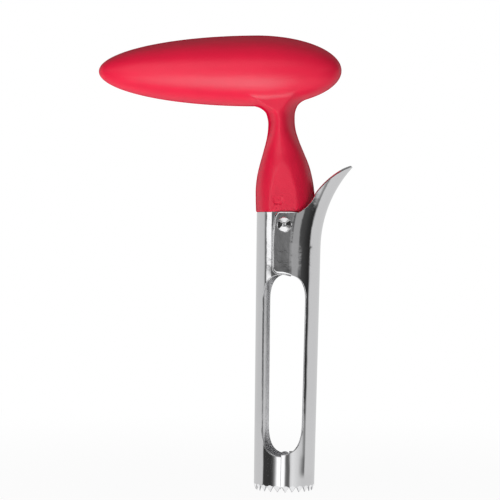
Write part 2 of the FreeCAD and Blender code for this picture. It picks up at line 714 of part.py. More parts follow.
# Core: a cross bar in the grip, a column down the stem and a plug in the top of the barrel
core_inside = form("core_inside",
                   handle_form((wall + size("column_gap")).value, OVER.value))
column_side = box("column_side", (-FAR, -FAR, SEAT), (FAR, FAR, grip_z - bar_high + OVER))
column_width = box("column_width", (size("column_left"), -FAR, SEAT - OVER),
                   (size("column_right"), FAR, grip_z))
foot_height = box("foot_height", (-FAR, -FAR, SEAT - OVER),
                  (FAR, FAR, SEAT + size("column_foot")))
column = common("column", core_inside, column_side,
                fuse("column_limits", column_width, foot_height))
plug_low = SEAT - size("plug_depth")
plug_radius = INNER - core_gap
plug_deep = flat_inner - core_gap
plug = common("plug", rod("plug_rod", plug_radius, plug_low, SEAT - plug_low),
              box("plug_block", (-FAR, -plug_deep, plug_low),
                  (size("plug_reach"), plug_deep, SEAT)))
core_blank = fuse("core_blank", cross_bar, column, plug)
core = cut("handle_core", core_blank, pivot_hole)

# Rivet: a tubular post from the front and a pin pressed into it from the back
head_radius = size("rivet_head_radius")
head_height = size("rivet_head_height")
head_seat = R + size("rivet_gap")
rivet_radius = size("rivet_radius")
bore = size("rivet_bore")
post_end = R - size("rivet_end_gap")
pin_start = post_end - size("rivet_pin_depth")


def head(name, side):
    """A dished head. side is -1 at the front and 1 at the back."""
    start = -(head_seat + head_height) if side < 0 else head_seat
    disc = rod(name + "_disc", head_radius, start, head_height, "y", (pivot_x, 0, pivot_z))
    cone = doc.addObject("Part::Cone", name + "_dish")
    bind(cone, "Radius1", head_radius * size("rivet_dish_share"))
    bind(cone, "Radius2", size("rivet_dimple"))
    bind(cone, "Height", size("rivet_dish"))
    cone.Placement = Placement(Vector(0, 0, 0), Rotation(Vector(1, 0, 0), -90 if side < 0 else 90))
    bind(cone, "Placement.Base.x", pivot_x)
    bind(cone, "Placement.Base.y", (head_seat + head_height) * side)
    bind(cone, "Placement.Base.z", pivot_z)
    return cut(name, disc, cone)


post_shank = rod("post_shank", rivet_radius, -head_seat, head_seat + post_end, "y",
                 (pivot_x, 0, pivot_z))
post_bore = rod("post_bore", bore, pin_start - OVER, FAR, "y", (pivot_x, 0, pivot_z))
rivet_post = cut("rivet_post", fuse("post_blank", head("post_head", -1), post_shank), post_bore)
pin_shank = rod("pin_shank", bore - size("rivet_press"), pin_start, head_seat - pin_start, "y",
                (pivot_x, 0, pivot_z))
rivet_pin = fuse("rivet_pin", head("pin_head", 1), pin_shank)


doc.recompute()
for item in doc.Objects:
    if "Invalid" in item.State or "Error" in item.State:
        raise RuntimeError("%s could not be made: %s" % (item.Name, item.State))
KEPT = [fixed_half, moving_half, core, front_shell, back_shell, rivet_post, rivet_pin]
for item in KEPT:
    shape = item.Shape
    if shape.isNull() or not shape.isValid() or len(shape.Solids) != 1:
        raise RuntimeError("%s is not one sound solid" % item.Label)
os.makedirs("parts", exist_ok=True)
for item in KEPT:
    item.Shape.exportStep("parts/%s.step" % item.Label)
    print("%-20s %9.1f mm3" % (item.Label, item.Shape.Volume))
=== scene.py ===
import json
import math

import bmesh
import bpy
import numpy as np
from mathutils import Matrix, Vector
from mathutils.geometry import delaunay_2d_cdt

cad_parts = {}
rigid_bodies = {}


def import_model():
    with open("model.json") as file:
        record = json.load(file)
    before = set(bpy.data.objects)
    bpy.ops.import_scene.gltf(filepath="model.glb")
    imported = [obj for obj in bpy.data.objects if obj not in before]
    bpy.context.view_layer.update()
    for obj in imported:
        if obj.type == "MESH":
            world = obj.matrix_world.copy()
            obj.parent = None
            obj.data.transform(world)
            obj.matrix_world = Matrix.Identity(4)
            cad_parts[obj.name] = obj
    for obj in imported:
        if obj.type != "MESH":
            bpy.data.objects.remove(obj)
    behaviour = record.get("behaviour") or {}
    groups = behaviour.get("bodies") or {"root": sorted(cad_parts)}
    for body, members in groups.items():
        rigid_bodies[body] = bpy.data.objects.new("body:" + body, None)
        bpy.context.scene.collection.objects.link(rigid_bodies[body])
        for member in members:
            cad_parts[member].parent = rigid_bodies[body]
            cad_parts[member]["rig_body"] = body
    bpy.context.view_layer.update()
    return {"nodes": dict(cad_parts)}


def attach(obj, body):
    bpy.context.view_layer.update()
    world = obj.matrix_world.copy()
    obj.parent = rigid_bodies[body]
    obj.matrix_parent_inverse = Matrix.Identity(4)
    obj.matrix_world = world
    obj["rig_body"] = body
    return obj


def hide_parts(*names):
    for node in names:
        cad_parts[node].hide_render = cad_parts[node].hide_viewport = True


for start_object in list(bpy.data.objects):
    bpy.data.objects.remove(start_object, do_unlink=True)

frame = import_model()

MM = 0.001

# Sizes of the corer in millimetres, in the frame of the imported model
RADIUS = 12.7
STEEL = 1.0
MIDDLE_RADIUS = RADIUS - STEEL / 2
SEAT_Z = 116.2
FLAT_MIDDLE = 11.1
WINDOW_TOP = 90.2
WINDOW_BOTTOM = 14.8
WINDOW_STEP = 0.9
WINDOW_ARCH = 10.7
WINDOW_FOOT = 12.5
BACK_DROP = 1.1
WINDOW_TAN = math.tan(math.radians(42.0))
# The teeth: pitch and turn in degrees, the share of half a pitch that a gullet's mouth takes,
# the share of the mouth that its floor takes, how much of the depth the floor is bowed, and
# where the outline has a point close to the floor's end, as a share of half a pitch
TOOTH_PITCH = 15.0
TOOTH_TURN = 9.0
TOOTH_DEPTH = 2.2
GULLET_MOUTH = 0.94
GULLET_FLOOR = 0.16
GULLET_BOW = 0.06
GULLET_POINT = 0.15
# The ground bevel outside the teeth: depth, height, how much the height waves with the teeth,
# and the width of its upper line
BEVEL_DEPTH = 0.75
BEVEL_HEIGHT = 2.4
BEVEL_WAVE = 0.25
BEVEL_LINE = 0.1
MIDDLE_Z = 50.0
# How far the fixed half reaches past the seam: its flat at the top, its tube at the mouth
FLAT_REACH = 3.6
LAP_REACH = 1.5
# The moving half's lap strips: the gap under them and their free edge
LAP_GAP = 0.1
LAP_LEFT = 0.2
# Points of the window this close to a strip's corner are left out
CORNER_GAP = 0.3
TAB_RIGHT = 0.2
TAB_ROUND = 2.4
TAB_CENTRE = (-1.4, 13.31)
LEAN = math.radians(0.9)
LEAN_Z = 7.0
BEND_Z = 102.0
BEND_RADIUS = 51.0
BEND_X = RADIUS + BEND_RADIUS
PIVOT = (0.6, 110.9)
# Arcs along the ear and the lever seen from the front: start, end, radius, the side of the
# way that the centre is on (1 left, -1 right), and how many points
EAR_ARCS = [
    ((-3.4, 90.3), (-5.9, 92.8), 2.5, -1, 9),
    ((-5.5, 113.6), (-3.0, 116.1), 2.5, -1, 9),
    ((4.6, 116.1), (11.35, 124.25), 15.0, 1, 9),
    ((11.35, 124.25), (24.7, 136.0), 36.0, -1, 13),
]
TIP_Z = 136.0
TIP_ROUND = 11.0
# Heights on the flat sheet where the ear starts and where its top edge does
EAR_FOOT = 89.0
EAR_TOP = 111.8

# The stem's sections: height above the barrel, left, right and half depth
STEM_LEVELS = [
    (0.0, -13.05, 11.65, 12.75),
    (5.0, -13.25, 11.65, 12.35),
    (10.0, -13.3, 11.2, 11.65),
    (15.0, -12.8, 10.3, 10.75),
    (20.0, -11.7, 8.9, 9.9),
    (25.0, -10.35, 6.8, 8.85),
    (30.0, -9.1, 4.7, 7.4),
    (34.5, -8.45, 3.25, 6.5),
    (39.0, -8.6, 2.75, 6.2),
    (42.5, -10.15, 3.0, 6.5),
    (45.0, -13.8, 4.0, 7.6),
    (48.5, -19.5, 6.4, 9.4),
    (52.5, -23.0, 8.5, 10.5),
]
GRIP_CENTRE = (-13.9, 175.6)
GRIP_LONG = 67.6
GRIP_SHORT = 36.2
GRIP_HALF_HEIGHT = 14.9
GRIP_HALF_DEPTH = 13.2
GRIP_BLEND = 1.6
STEM_TOP = 52.0
STEM_ROUND = 0.5
# The flat facet on the stem's front and back
FACET_DEPTH = 11.35
FACET_SLOPE = math.tan(math.radians(4.4))
# The ridge up the neck, and the heights above the barrel where it rises and fades
NECK_RIDGE = 0.22
RIDGE_HEIGHTS = (17, 25, 46, 55)
# The neck is shaded as if it ran up this much deeper into the bar, between these heights
SHADED_NECK = 3.0
SHADED_HEIGHTS = (23, 38, 42, 56)
# The round mould mark: place, depth, and the radii of its floor and its rim
MARK = (-2.4, 121.0)
MARK_DEPTH = 0.19
MARK_RADII = (1.6, 2.2)

# The camera is level and 8.5 degrees to the right of the front
AZIMUTH = math.radians(8.5)
RIGHT = Vector((math.cos(AZIMUTH), math.sin(AZIMUTH), 0))
FORWARD = Vector((-math.sin(AZIMUTH), math.cos(AZIMUTH), 0))


def new_object(name, mesh, slot, *nodes):
    """Links a mesh as a piece that stands for CAD nodes and rides on their body."""
    piece = bpy.data.objects.new(name, mesh)
    bpy.context.scene.collection.objects.link(piece)
    body = frame["nodes"][nodes[0]]["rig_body"]
    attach(piece, body)
    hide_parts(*nodes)
    return piece


# Sheet metal: a profile seen from above, drawn along Z


class Profile:
    """The middle line of a bent sheet, from its front free edge to the sheet's outermost line.
    turns holds (length, heading in degrees at its end); the heading changes evenly along it."""

    def __init__(self, turns, last_point):
        lengths = np.cumsum([length for length, _ in turns])
        headings = [heading for _, heading in turns]
        total = lengths[-1]
        steps = np.linspace(0, total, 4001)
        angle = np.radians(np.interp(steps, lengths, headings))
        dx = np.cos(angle)
        dy = np.sin(angle)
        step = steps[1] - steps[0]
        x = np.concatenate([[0], np.cumsum((dx[1:] + dx[:-1]) / 2) * step])
        y = np.concatenate([[0], np.cumsum((dy[1:] + dy[:-1]) / 2) * step])
        self.x = x - x[-1] + last_point[0]
        self.y = y - y[-1] + last_point[1]
        self.angle = angle
        self.shown = angle
        self.way = steps - total
        self.total = total

    def at(self, s):
        """x, y, heading and shaded heading at the distance s from the outermost line, negative
        at the front."""
        way = -np.abs(s)
        beyond = np.minimum(way + self.total, 0)
        x = np.interp(way, self.way, self.x)
        y = np.interp(way, self.way, self.y)
        angle = np.interp(way, self.way, self.angle)
        shown = np.interp(way, self.way, self.shown)
        x = x + beyond * np.cos(angle)
        y = y + beyond * np.sin(angle)
        back = np.asarray(s) > 0
        angle, shown = (np.where(back, math.pi - a, a) for a in (angle, shown))
        return x, np.where(back, -y, y), angle, shown

    def from_x(self, x):
        """The front distance whose middle line has this X."""
        return np.interp(x, self.x, self.way)

    def from_ratio(self, ratio):
        """The front distance whose middle line has this X over depth."""
        return np.interp(ratio, self.x / np.maximum(-self.y, 1e-6), self.way)


def arc(radius, start, end):
    """A turn of a profile: the length of an arc between two headings, and the second."""
    return (radius * math.radians(end - start), end)


def upper_moving_profile():
    """The ear's flat, a sloping strip and the tube."""
    corner_x, bend, slope = 2.3, 1.3, 21.0
    root, root_bend = 24.2, 0.6
    ear_reach = 9.5
    flat = corner_x - bend / 2 + ear_reach
    root_x = MIDDLE_RADIUS * math.sin(math.radians(root))
    run = (root_x - corner_x) / math.cos(math.radians(slope)) - bend / 2
    turns = [(0, 0), (flat, 0), (bend, slope), (run - root_bend / 2, slope),
             (root_bend, root + 0.5), arc(MIDDLE_RADIUS, root + 0.5, 90)]
    return Profile(turns, (MIDDLE_RADIUS, 0))


def lower_moving_profile():
    """The lap strip, the step down from it and the tube."""
    first, last, steep, tube = 0.8, 9.4, 46, 18.5
    bend, drop = 0.3, 1.75
    lap = arc(RADIUS + LAP_GAP + STEEL / 2, first, last)
    turns = [(0, first), lap, (bend, steep), (drop, steep), (bend, tube),
             arc(MIDDLE_RADIUS, tube, 90)]
    profile = Profile(turns, (MIDDLE_RADIUS, 0))
    # The soft step from the lap to the tube is shaded like a gentle curve
    way = profile.way + profile.total
    stops = (0, lap[0], lap[0] + 0.1, lap[0] + 2.25, lap[0] + 2.4)
    gentle = np.interp(way, stops, np.radians((first, last, 11.5, 17.5, tube)))
    profile.shown = np.where(way < stops[-1], gentle, profile.angle)
    return profile


def upper_fixed_profile():
    """The flat under the ear and the tube."""
    bend = 0.6
    root = math.degrees(math.asin(math.sqrt(MIDDLE_RADIUS ** 2 - FLAT_MIDDLE ** 2)
                                  / MIDDLE_RADIUS))
    flat = FLAT_REACH + MIDDLE_RADIUS * math.sin(math.radians(root)) - bend / 2
    turns = [(0, 0), (flat, 0), (bend, root + 1), arc(MIDDLE_RADIUS, root + 1, 90)]
    return Profile(turns, (MIDDLE_RADIUS, 0))


def lower_fixed_profile():
    """The tube, with its edge under the lap strip."""
    start = -math.degrees(math.asin(LAP_REACH / MIDDLE_RADIUS))
    return Profile([(0, start), arc(MIDDLE_RADIUS, start, 90)], (MIDDLE_RADIUS, 0))


# A corner that turns by less, in radians, isn't rounded, and a rounding takes at most this
# share of the sides beside it
LEAST_TURN = 0.35
CORNER_SHARE = 0.45


def bent(v, turn, is_point):
    """Points or directions of the flat sheet after the lever's bend."""
    cos, sin = np.cos(turn), np.sin(turn)
    if is_point:
        reach = BEND_X - v[..., 0]
        above = v[..., 2] > BEND_Z
        x = np.where(above, BEND_X - reach * cos, v[..., 0])
        z = np.where(above, BEND_Z + reach * sin, v[..., 2])
        return np.stack([x, v[..., 1], z], -1)
    x = v[..., 0] * cos + v[..., 2] * sin
    z = -v[..., 0] * sin + v[..., 2] * cos
    return np.stack([x, v[..., 1], z], -1)


def leaned(v, is_point):
    """Points or directions of the moving half after its slight turn towards the lever."""
    rise = LEAN_Z if is_point else 0.0
    x = v[..., 0] * math.cos(LEAN) + (v[..., 2] - rise) * math.sin(LEAN)
    z = rise - v[..., 0] * math.sin(LEAN) + (v[..., 2] - rise) * math.cos(LEAN)
    return np.stack([x, v[..., 1], z], -1)


class Half:
    """One half of the barrel, from two profiles. The fixed half is mirrored to the left."""

    def __init__(self, lower, upper, moving):
        self.lower = lower
        self.upper = upper
        self.moving = moving
        self.side = 1 if moving else -1

    def place(self, s, z, w):
        """Places of points at (s, z) of the flat sheet, w outside its middle, and the outward,
        sideways and upward directions there."""
        s = np.asarray(s, float)
        z = np.asarray(z, float)
        levels = zip(self.lower.at(s), self.upper.at(s))
        x, y, angle, shown = (np.where(z > MIDDLE_Z, high, low) for low, high in levels)
        none, one = np.zeros_like(s), np.ones_like(s)
        outward = np.stack([np.sin(angle), -np.cos(angle), none], -1)
        point = np.stack([x, y, z], -1) + outward * np.asarray(w)[..., None]
        cos, sin = np.cos(shown), np.sin(shown)
        normal = np.stack([sin, -cos, none], -1)
        along = np.stack([cos, sin, none], -1)
        up = np.stack([none, none, one], -1)
        result = (point, normal, along, up)
        if self.moving:
            turn = np.maximum(z - BEND_Z, 0) / BEND_RADIUS
            result = [bent(v, turn, i == 0) for i, v in enumerate(result)]
            result = [leaned(v, i == 0) for i, v in enumerate(result)]
        return [v * np.array([self.side, 1, 1]) for v in result]

    def bevel_height(self, s):
        """Height up to which the outside is ground."""
        turn = self.side * (90 - np.abs(np.degrees(s / MIDDLE_RADIUS)))
        turn = np.where(s > 0, 180 - turn, turn)
        wave = np.cos(np.radians(turn - TOOTH_TURN) * 360 / TOOTH_PITCH)
        return BEVEL_HEIGHT + BEVEL_WAVE * wave

    def outer(self, s, z):
        """How far the outer skin lies outside the sheet's middle."""
        return STEEL / 2 - BEVEL_DEPTH * np.clip(1 - z / self.bevel_height(s), 0, 1)


def rounded(points, radius, skip_below):
    """Rounds the corners of a closed outline. Corners under skip_below stay sharp."""
    done = []
    count = len(points)
    for index, point in enumerate(points):
        before = np.array(points[index - 1])
        here = np.array(point)
        after = np.array(points[(index + 1) % count])
        a = before - here
        b = after - here
        la, lb = np.linalg.norm(a), np.linalg.norm(b)
        a, b = a / la, b / lb
        turn = math.pi - math.acos(max(-1, min(1, float(a @ b))))
        if turn < LEAST_TURN or here[1] < skip_below:
            done.append(tuple(here))
            continue
        reach = min(radius * math.tan(turn / 2), la * CORNER_SHARE, lb * CORNER_SHARE)
        start, end = here + a * reach, here + b * reach
        for t in np.linspace(0, 1, 6):
            done.append(tuple(start * (1 - t) ** 2 + here * 2 * t * (1 - t) + end * t * t))
    return done


def spaced(points, step):
    """Adds points to a closed outline so that no side is longer than the step."""
    done = []
    for index, point in enumerate(points):
        a = np.array(point)
        b = np.array(points[(index + 1) % len(points)])
        count = max(1, int(math.ceil(np.linalg.norm(b - a) / step)))
        for t in range(count):
            done.append(a + (b - a) * t / count)
    return np.array(done)


def inside(points, loop):
    """Which points lie in a closed outline."""
    x, y = points[:, 0], points[:, 1]
    result = np.zeros(len(points), bool)
    for a, b in zip(loop, np.roll(loop, -1, axis=0)):
        if a[1] == b[1]:
            continue
        crosses = (a[1] > y) != (b[1] > y)
        at = a[0] + (y - a[1]) * (b[0] - a[0]) / (b[1] - a[1])
        result ^= crosses & (x < at)
    return result


def distance_to(points, loop):
    """Distance of each point from a closed outline."""
    best = np.full(len(points), 1e9)
    for a, b in zip(loop, np.roll(loop, -1, axis=0)):
        d = b - a
        t = np.clip(((points - a) @ d) / max(float(d @ d), 1e-12), 0, 1)
        best = np.minimum(best, np.linalg.norm(points - a - t[:, None] * d, axis=1))
    return best


# The mesh of a sheet: spacing of its points along the edge, across and up the skin, more rows
# of points at the teeth, and how far the skin's points keep from the edge's rounding
EDGE_STEP = 0.7
SKIN_ACROSS = 0.55
SKIN_UP = 1.6
TOOTH_ROWS = [0.6, 1.2, 1.7, 2.0, 2.2, 2.4, 2.6, 2.9]
SKIN_CLEAR = 0.22
# The edge's rounding: its width at the teeth, what it gains above them and over what height,
# the most of the sheet's thickness that it takes outside and inside, and its rings' angles
ROUND_TEETH = 0.14
ROUND_GAIN = 0.06
ROUND_RISE = 0.8
ROUND_OUTSIDE = 0.55
ROUND_INSIDE = 0.2
RING_ANGLES = (22.5, 45, 67.5, 90)
# A sharp corner moves in by at most 1 over this times as much as its sides
LEAST_MITER = 0.55
# Below this height the edge gets darker steel, painted shade on the teeth's rims, and it looks
# cut where its rounding is this wide
TEETH_TOP = 2.3
WIDE_ROUND = 0.4


def outward_of(loop):
    """Outward directions at the corners of a closed outline, and how much further than its
    sides each corner has to move."""
    before = loop - np.roll(loop, 1, axis=0)
    after = np.roll(loop, -1, axis=0) - loop
    sides = [np.stack([d[:, 1], -d[:, 0]], -1) for d in (before, after)]
    first, second = [d / np.linalg.norm(d, axis=1)[:, None] for d in sides]
    outward = first + second
    outward /= np.maximum(np.linalg.norm(outward, axis=1), 1e-6)[:, None]
    return outward, 1 / np.maximum(np.sum(outward * first, axis=1), LEAST_MITER)


class Rim:
    """The rounded edge of a sheet along its outline."""

    def __init__(self, loop, soft_edge):
        self.loop = loop
        self.outward, self.miter = outward_of(loop)
        rise = np.clip((loop[:, 1] - TOOTH_DEPTH) / ROUND_RISE, 0, 1)
        self.width = ROUND_TEETH + ROUND_GAIN * rise
        if soft_edge:
            self.width += soft_edge(loop[:, 0], loop[:, 1])
        self.inset = loop - self.way(1)

    def way(self, share):
        """The way outwards over a share of the rounding."""
        return self.outward * (self.width * self.miter * share)[:, None]

    def rings(self, half, calm):
        """Points and shading directions of the rings from the outer skin to the inner one."""
        outer = half.outer(self.loop[:, 0], self.loop[:, 1])
        thick = outer + STEEL / 2
        round_outer = np.minimum(self.width, thick * ROUND_OUTSIDE)
        round_inner = np.minimum(self.width, thick * ROUND_INSIDE)
        points, normals = [], []
        steps = [(a, 1) for a in RING_ANGLES] + [(a, -1) for a in reversed(RING_ANGLES)]
        for angle, side in steps:
            a = math.radians(angle)
            spot = self.inset + self.way(math.sin(a))
            if side > 0:
                w = outer - round_outer * (1 - math.cos(a))
            else:
                w = -STEEL / 2 + round_inner * (1 - math.cos(a))
            place, normal, along, up = half.place(spot[:, 0], spot[:, 1], w)
            points.append(place)
            a = (a * calm)[:, None]
            out = along * self.outward[:, 0:1] + up * self.outward[:, 1:2]
            normals.append(out * np.sin(a) + normal * (side * np.cos(a)))
        return points, normals


def skin_grid(loop, inset):
    """Points over the inside of a sheet's outline, closer together at the teeth."""
    low, high = loop.min(0), loop.max(0)
    across = np.arange(low[0], high[0], SKIN_ACROSS)
    heights = list(np.arange(low[1], high[1], SKIN_UP))
    heights += TOOTH_ROWS + [MIDDLE_Z - 0.01, MIDDLE_Z + 0.01]
    grid = np.array([(s, z) for z in sorted(heights) for s in across])
    grid = grid[inside(grid, inset)]
    return grid[distance_to(grid, inset) > SKIN_CLEAR]


def skins(half, s, z):
    """Points and shading directions of the outer skin, shaded flat where it is ground, and of
    the inner one."""
    outer, normal, _, up = half.place(s, z, half.outer(s, z))
    ground = np.clip((half.bevel_height(s) - z) / BEVEL_LINE + 0.5, 0, 1)[:, None]
    tilt = math.atan2(BEVEL_DEPTH, BEVEL_HEIGHT)
    normal = normal * (1 - ground) + (normal * math.cos(tilt) - up * math.sin(tilt)) * ground
    inner, against, _, _ = half.place(s, z, np.full(len(s), -STEEL / 2))
    return [outer, inner], [normal, -against]


def edge_steel(step, height, width):
    """The material of a piece of the edge, by its step from the outer skin, its height and the
    rounding's width."""
    # The teeth's edges are darker: painted shade on rims that face sideways and down
    if height < TEETH_TOP:
        return "shaded_tooth_steel"
    if 3 <= step <= 5 or (step < 3 and width > WIDE_ROUND):
        return "cut_steel"
    return "steel"


def sheet_mesh(name, half, outline, soft_edge=None, calm_edge=None):
    """A sheet with rounded edges, ground thinner at the teeth. soft_edge gives extra rounding
    at points of the outline, and calm_edge how much less the edge is shaded as round there."""
    loop = spaced(outline, EDGE_STEP)
    ahead = np.roll(loop, -1, axis=0)
    if np.sum(loop[:, 0] * ahead[:, 1] - loop[:, 1] * ahead[:, 0]) < 0:
        loop = loop[::-1]
    rim = Rim(loop, soft_edge)
    calm = np.ones(len(loop))
    if calm_edge:
        calm -= calm_edge(loop[:, 0], loop[:, 1])

    count = len(loop)
    flat = [Vector(p) for p in rim.inset] + [Vector(p) for p in skin_grid(loop, rim.inset)]
    edges = [(i, (i + 1) % count) for i in range(count)]
    verts, _, faces, originals, _, _ = delaunay_2d_cdt(flat, edges, [], 1, 1e-5)
    spots = np.array([tuple(v) for v in verts])
    layer = len(spots)
    number = {source: index for index, sources in enumerate(originals)
              for source in sources if source < count}
    border = [number[i] for i in range(count)]

    points, normals = skins(half, spots[:, 0], spots[:, 1])
    ring_points, ring_normals = rim.rings(half, calm)
    points = np.concatenate(points + ring_points)
    normals = np.concatenate(normals + ring_normals)
    normals /= np.linalg.norm(normals, axis=1)[:, None]

    slots = ("steel", "cut_steel", "inner_steel", "shaded_tooth_steel")
    turned = half.side < 0
    polygons = []
    for face in faces:
        outer = list(face)
        inner = [i + layer for i in reversed(face)]
        polygons += [outer[::-1], inner[::-1]] if turned else [outer, inner]
    shades = [slots.index("steel"), slots.index("inner_steel")] * len(faces)
    chain = [border]
    chain += [range(ring, ring + count) for ring in range(2 * layer, len(points), count)]
    chain.append([i + layer for i in border])
    for step, (first, second) in enumerate(zip(chain, chain[1:])):
        for i in range(count):
            j = (i + 1) % count
            quad = [first[i], second[i], second[j], first[j]]
            polygons.append(quad[::-1] if turned else quad)
            shades.append(slots.index(edge_steel(step, loop[i, 1], rim.width[i])))
    mesh = bpy.data.meshes.new(name)
    mesh.from_pydata([tuple(p * MM) for p in points], [], polygons)
    mesh.update()
    mesh.shade_smooth()
    mesh.polygons.foreach_set("material_index", shades)
    mesh.normals_split_custom_set_from_vertices([tuple(n) for n in normals])
    for slot in slots:
        mesh.materials.append(MATERIALS[slot])
    return mesh


def window_edge(profile, bottom, part):
    """Points of the window's outline from the bottom middle up one side to the top middle.
    part keeps those above or below the middle height."""
    points = []
    for t in np.linspace(0, math.pi / 2, 25):
        points.append((WINDOW_TAN * math.sin(t), bottom + WINDOW_FOOT * (1 - math.cos(t))))
    for z in (30, 40, MIDDLE_Z, MIDDLE_Z + 0.001, 60, 70):
        points.append((WINDOW_TAN, z))
    for t in np.linspace(0, math.pi / 2, 25):
        points.append((WINDOW_TAN * math.cos(t), WINDOW_TOP - WINDOW_ARCH * (1 - math.sin(t))))
    keep = [p for p in points if (p[1] > MIDDLE_Z) == (part == "upper")]
    return [(float(profile.from_ratio(r)), z) for r, z in keep]


def tooth_line(s_values, side):
    """Height of an upright half's toothed edge at each distance along the lower rim."""
    half_pitch = TOOTH_PITCH / 2
    mouth = GULLET_MOUTH * half_pitch
    floor = GULLET_FLOOR * GULLET_MOUTH * half_pitch
    heights = []
    for s in s_values:
        angle = side * (90.0 - abs(math.degrees(s / MIDDLE_RADIUS)))
        if s > 0:
            angle = 180.0 - angle
        offset = (angle - TOOTH_TURN) % TOOTH_PITCH
        from_gullet = half_pitch - min(offset, TOOTH_PITCH - offset)
        if from_gullet >= mouth:
            height = 0.0
        elif from_gullet <= floor:
            height = TOOTH_DEPTH * (1 - GULLET_BOW * from_gullet / floor)
        else:
            height = (1 - GULLET_BOW) * TOOTH_DEPTH * (mouth - from_gullet) / (mouth - floor)
        heights.append(height)
    return heights


def toothed_edge(s_front, half):
    """The toothed bottom from the back free edge to the front one."""
    tips = {s_front, -s_front}
    half_pitch = TOOTH_PITCH / 2
    for index in range(-12, 24):
        centre = TOOTH_TURN + half_pitch + index * TOOTH_PITCH
        for share in (0, GULLET_MOUTH, -GULLET_MOUTH, GULLET_POINT, -GULLET_POINT):
            angle = (centre + share * half_pitch) * half.side
            angle = (angle + 180) % 360 - 180
            if angle < -90:
                angle += 360
            s = MIDDLE_RADIUS * math.radians(angle - 90)
            if abs(s) < abs(s_front):
                tips.add(s)
    s_values = sorted(tips, reverse=True)
    result = []
    for s, z in zip(s_values, tooth_line(s_values, half.side)):
        if half.moving:
            z += MIDDLE_RADIUS * math.cos(s / MIDDLE_RADIUS) * math.sin(LEAN)
        result.append((s, z))
    return result


def mirror_points(points):
    return [(-s, z) for s, z in reversed(points)]


def lowered(points):
    """The window's bottom at the back lies a little lower than at the front."""
    return [(s, z - BACK_DROP if WINDOW_BOTTOM - 1 < z < 35 else z) for s, z in points]


def bow(p, q, radius, side, count=9):
    """Points of an arc from p to q. side 1 has its centre left of the way, -1 right."""
    p, q = np.array(p, float), np.array(q, float)
    chord = q - p
    left = np.array([-chord[1], chord[0]]) / np.linalg.norm(chord)
    centre = (p + q) / 2 + left * side * math.sqrt(radius ** 2 - (np.linalg.norm(chord) / 2) ** 2)
    a = math.atan2(*(p - centre)[::-1])
    b = math.atan2(*(q - centre)[::-1])
    if side > 0 and b < a:
        b += 2 * math.pi
    if side < 0 and b > a:
        b -= 2 * math.pi
    return [tuple(centre + radius * np.array([math.cos(t), math.sin(t)]))
            for t in np.linspace(a, b, count)]


def on_flat(profile, x, z):
    """Where a point seen from the front lies on the flat sheet, before the lever's bend."""
    if z <= BEND_Z:
        return float(profile.from_x(x)), z
    reach = math.hypot(BEND_X - x, z - BEND_Z)
    turn = math.atan2(z - BEND_Z, BEND_X - x)
    return float(profile.from_x(BEND_X - reach)), BEND_Z + BEND_RADIUS * turn


def lever_edge(profile):
    """The ear's free edge, the lever's side and its round tip, on the flat sheet."""
    tip_centre = TIP_Z - TIP_ROUND

    def tip_height(y):
        return tip_centre + math.sqrt(TIP_ROUND ** 2 - y * y)

    foot, shoulder, dip, lever = (bow(*ends) for ends in EAR_ARCS)
    points = []
    for x, z in foot + shoulder + dip[:-1] + lever:
        s, z_flat = on_flat(profile, x, z)
        y = float(profile.at(s)[1])
        if abs(y) < TIP_ROUND and z > tip_height(y):
            break
        points.append((s, z_flat))
    for along in np.linspace(s, 0, 10):
        x, y = profile.at(along)[:2]
        turn = math.asin((tip_height(float(y)) - BEND_Z) / (BEND_X - float(x)))
        points.append((float(along), BEND_Z + BEND_RADIUS * turn))
    return points


def moving_half():
    """The half with the ears, the lap strips and the lever."""
    lower, upper = lower_moving_profile(), upper_moving_profile()
    half = Half(lower, upper, True)
    bottom = WINDOW_BOTTOM + WINDOW_STEP
    lap_s = float(lower.from_x(LAP_LEFT))
    front = [(lap_s, bottom)]
    front += [p for p in window_edge(lower, bottom, "lower") if p[0] > lap_s + CORNER_GAP]
    arch_s = upper.from_x(CORNER_GAP)
    front += [p for p in window_edge(upper, bottom, "upper") if p[0] > arch_s]
    front += lever_edge(upper)
    back = lowered(mirror_points(front)[1:])
    outline = toothed_edge(lap_s, half) + front + back
    ear_start = -float(upper.from_x(3.0))

    def on_ear(s, width):
        return np.clip((np.abs(s) - ear_start) / width, 0, 1)

    def at_top(z):
        return np.clip((z - EAR_TOP) / 0.8, 0, 1)

    def soft_edge(s, z):
        return 0.9 * on_ear(s, 4) * np.clip(z - EAR_FOOT, 0, 1) * (1 - 0.7 * at_top(z))

    def calm_edge(s, z):
        return 0.82 * on_ear(s, 2) * at_top(z)

    return sheet_mesh("steel_moving", half, rounded(outline, 0.35, 3.0), soft_edge, calm_edge)


def tab_edge(profile):
    """The window's lower end at the back: its sill, and the round tab that stands above it."""
    points = []
    for x in np.linspace(3.1, -TAB_RIGHT, 16):
        depth = math.sqrt(MIDDLE_RADIUS ** 2 - x * x)
        along = min(max(x / depth / WINDOW_TAN, 0), 1)
        sill = WINDOW_BOTTOM + WINDOW_FOOT * (1 - math.sqrt(1 - along ** 2))
        tab = TAB_CENTRE[1] + math.sqrt(max(TAB_ROUND ** 2 - (x + TAB_CENTRE[0]) ** 2, 0))
        points.append((-float(profile.from_x(x)), max(sill, tab)))
    points.append((-float(profile.from_x(-TAB_RIGHT)) + 0.01, WINDOW_BOTTOM))
    return points


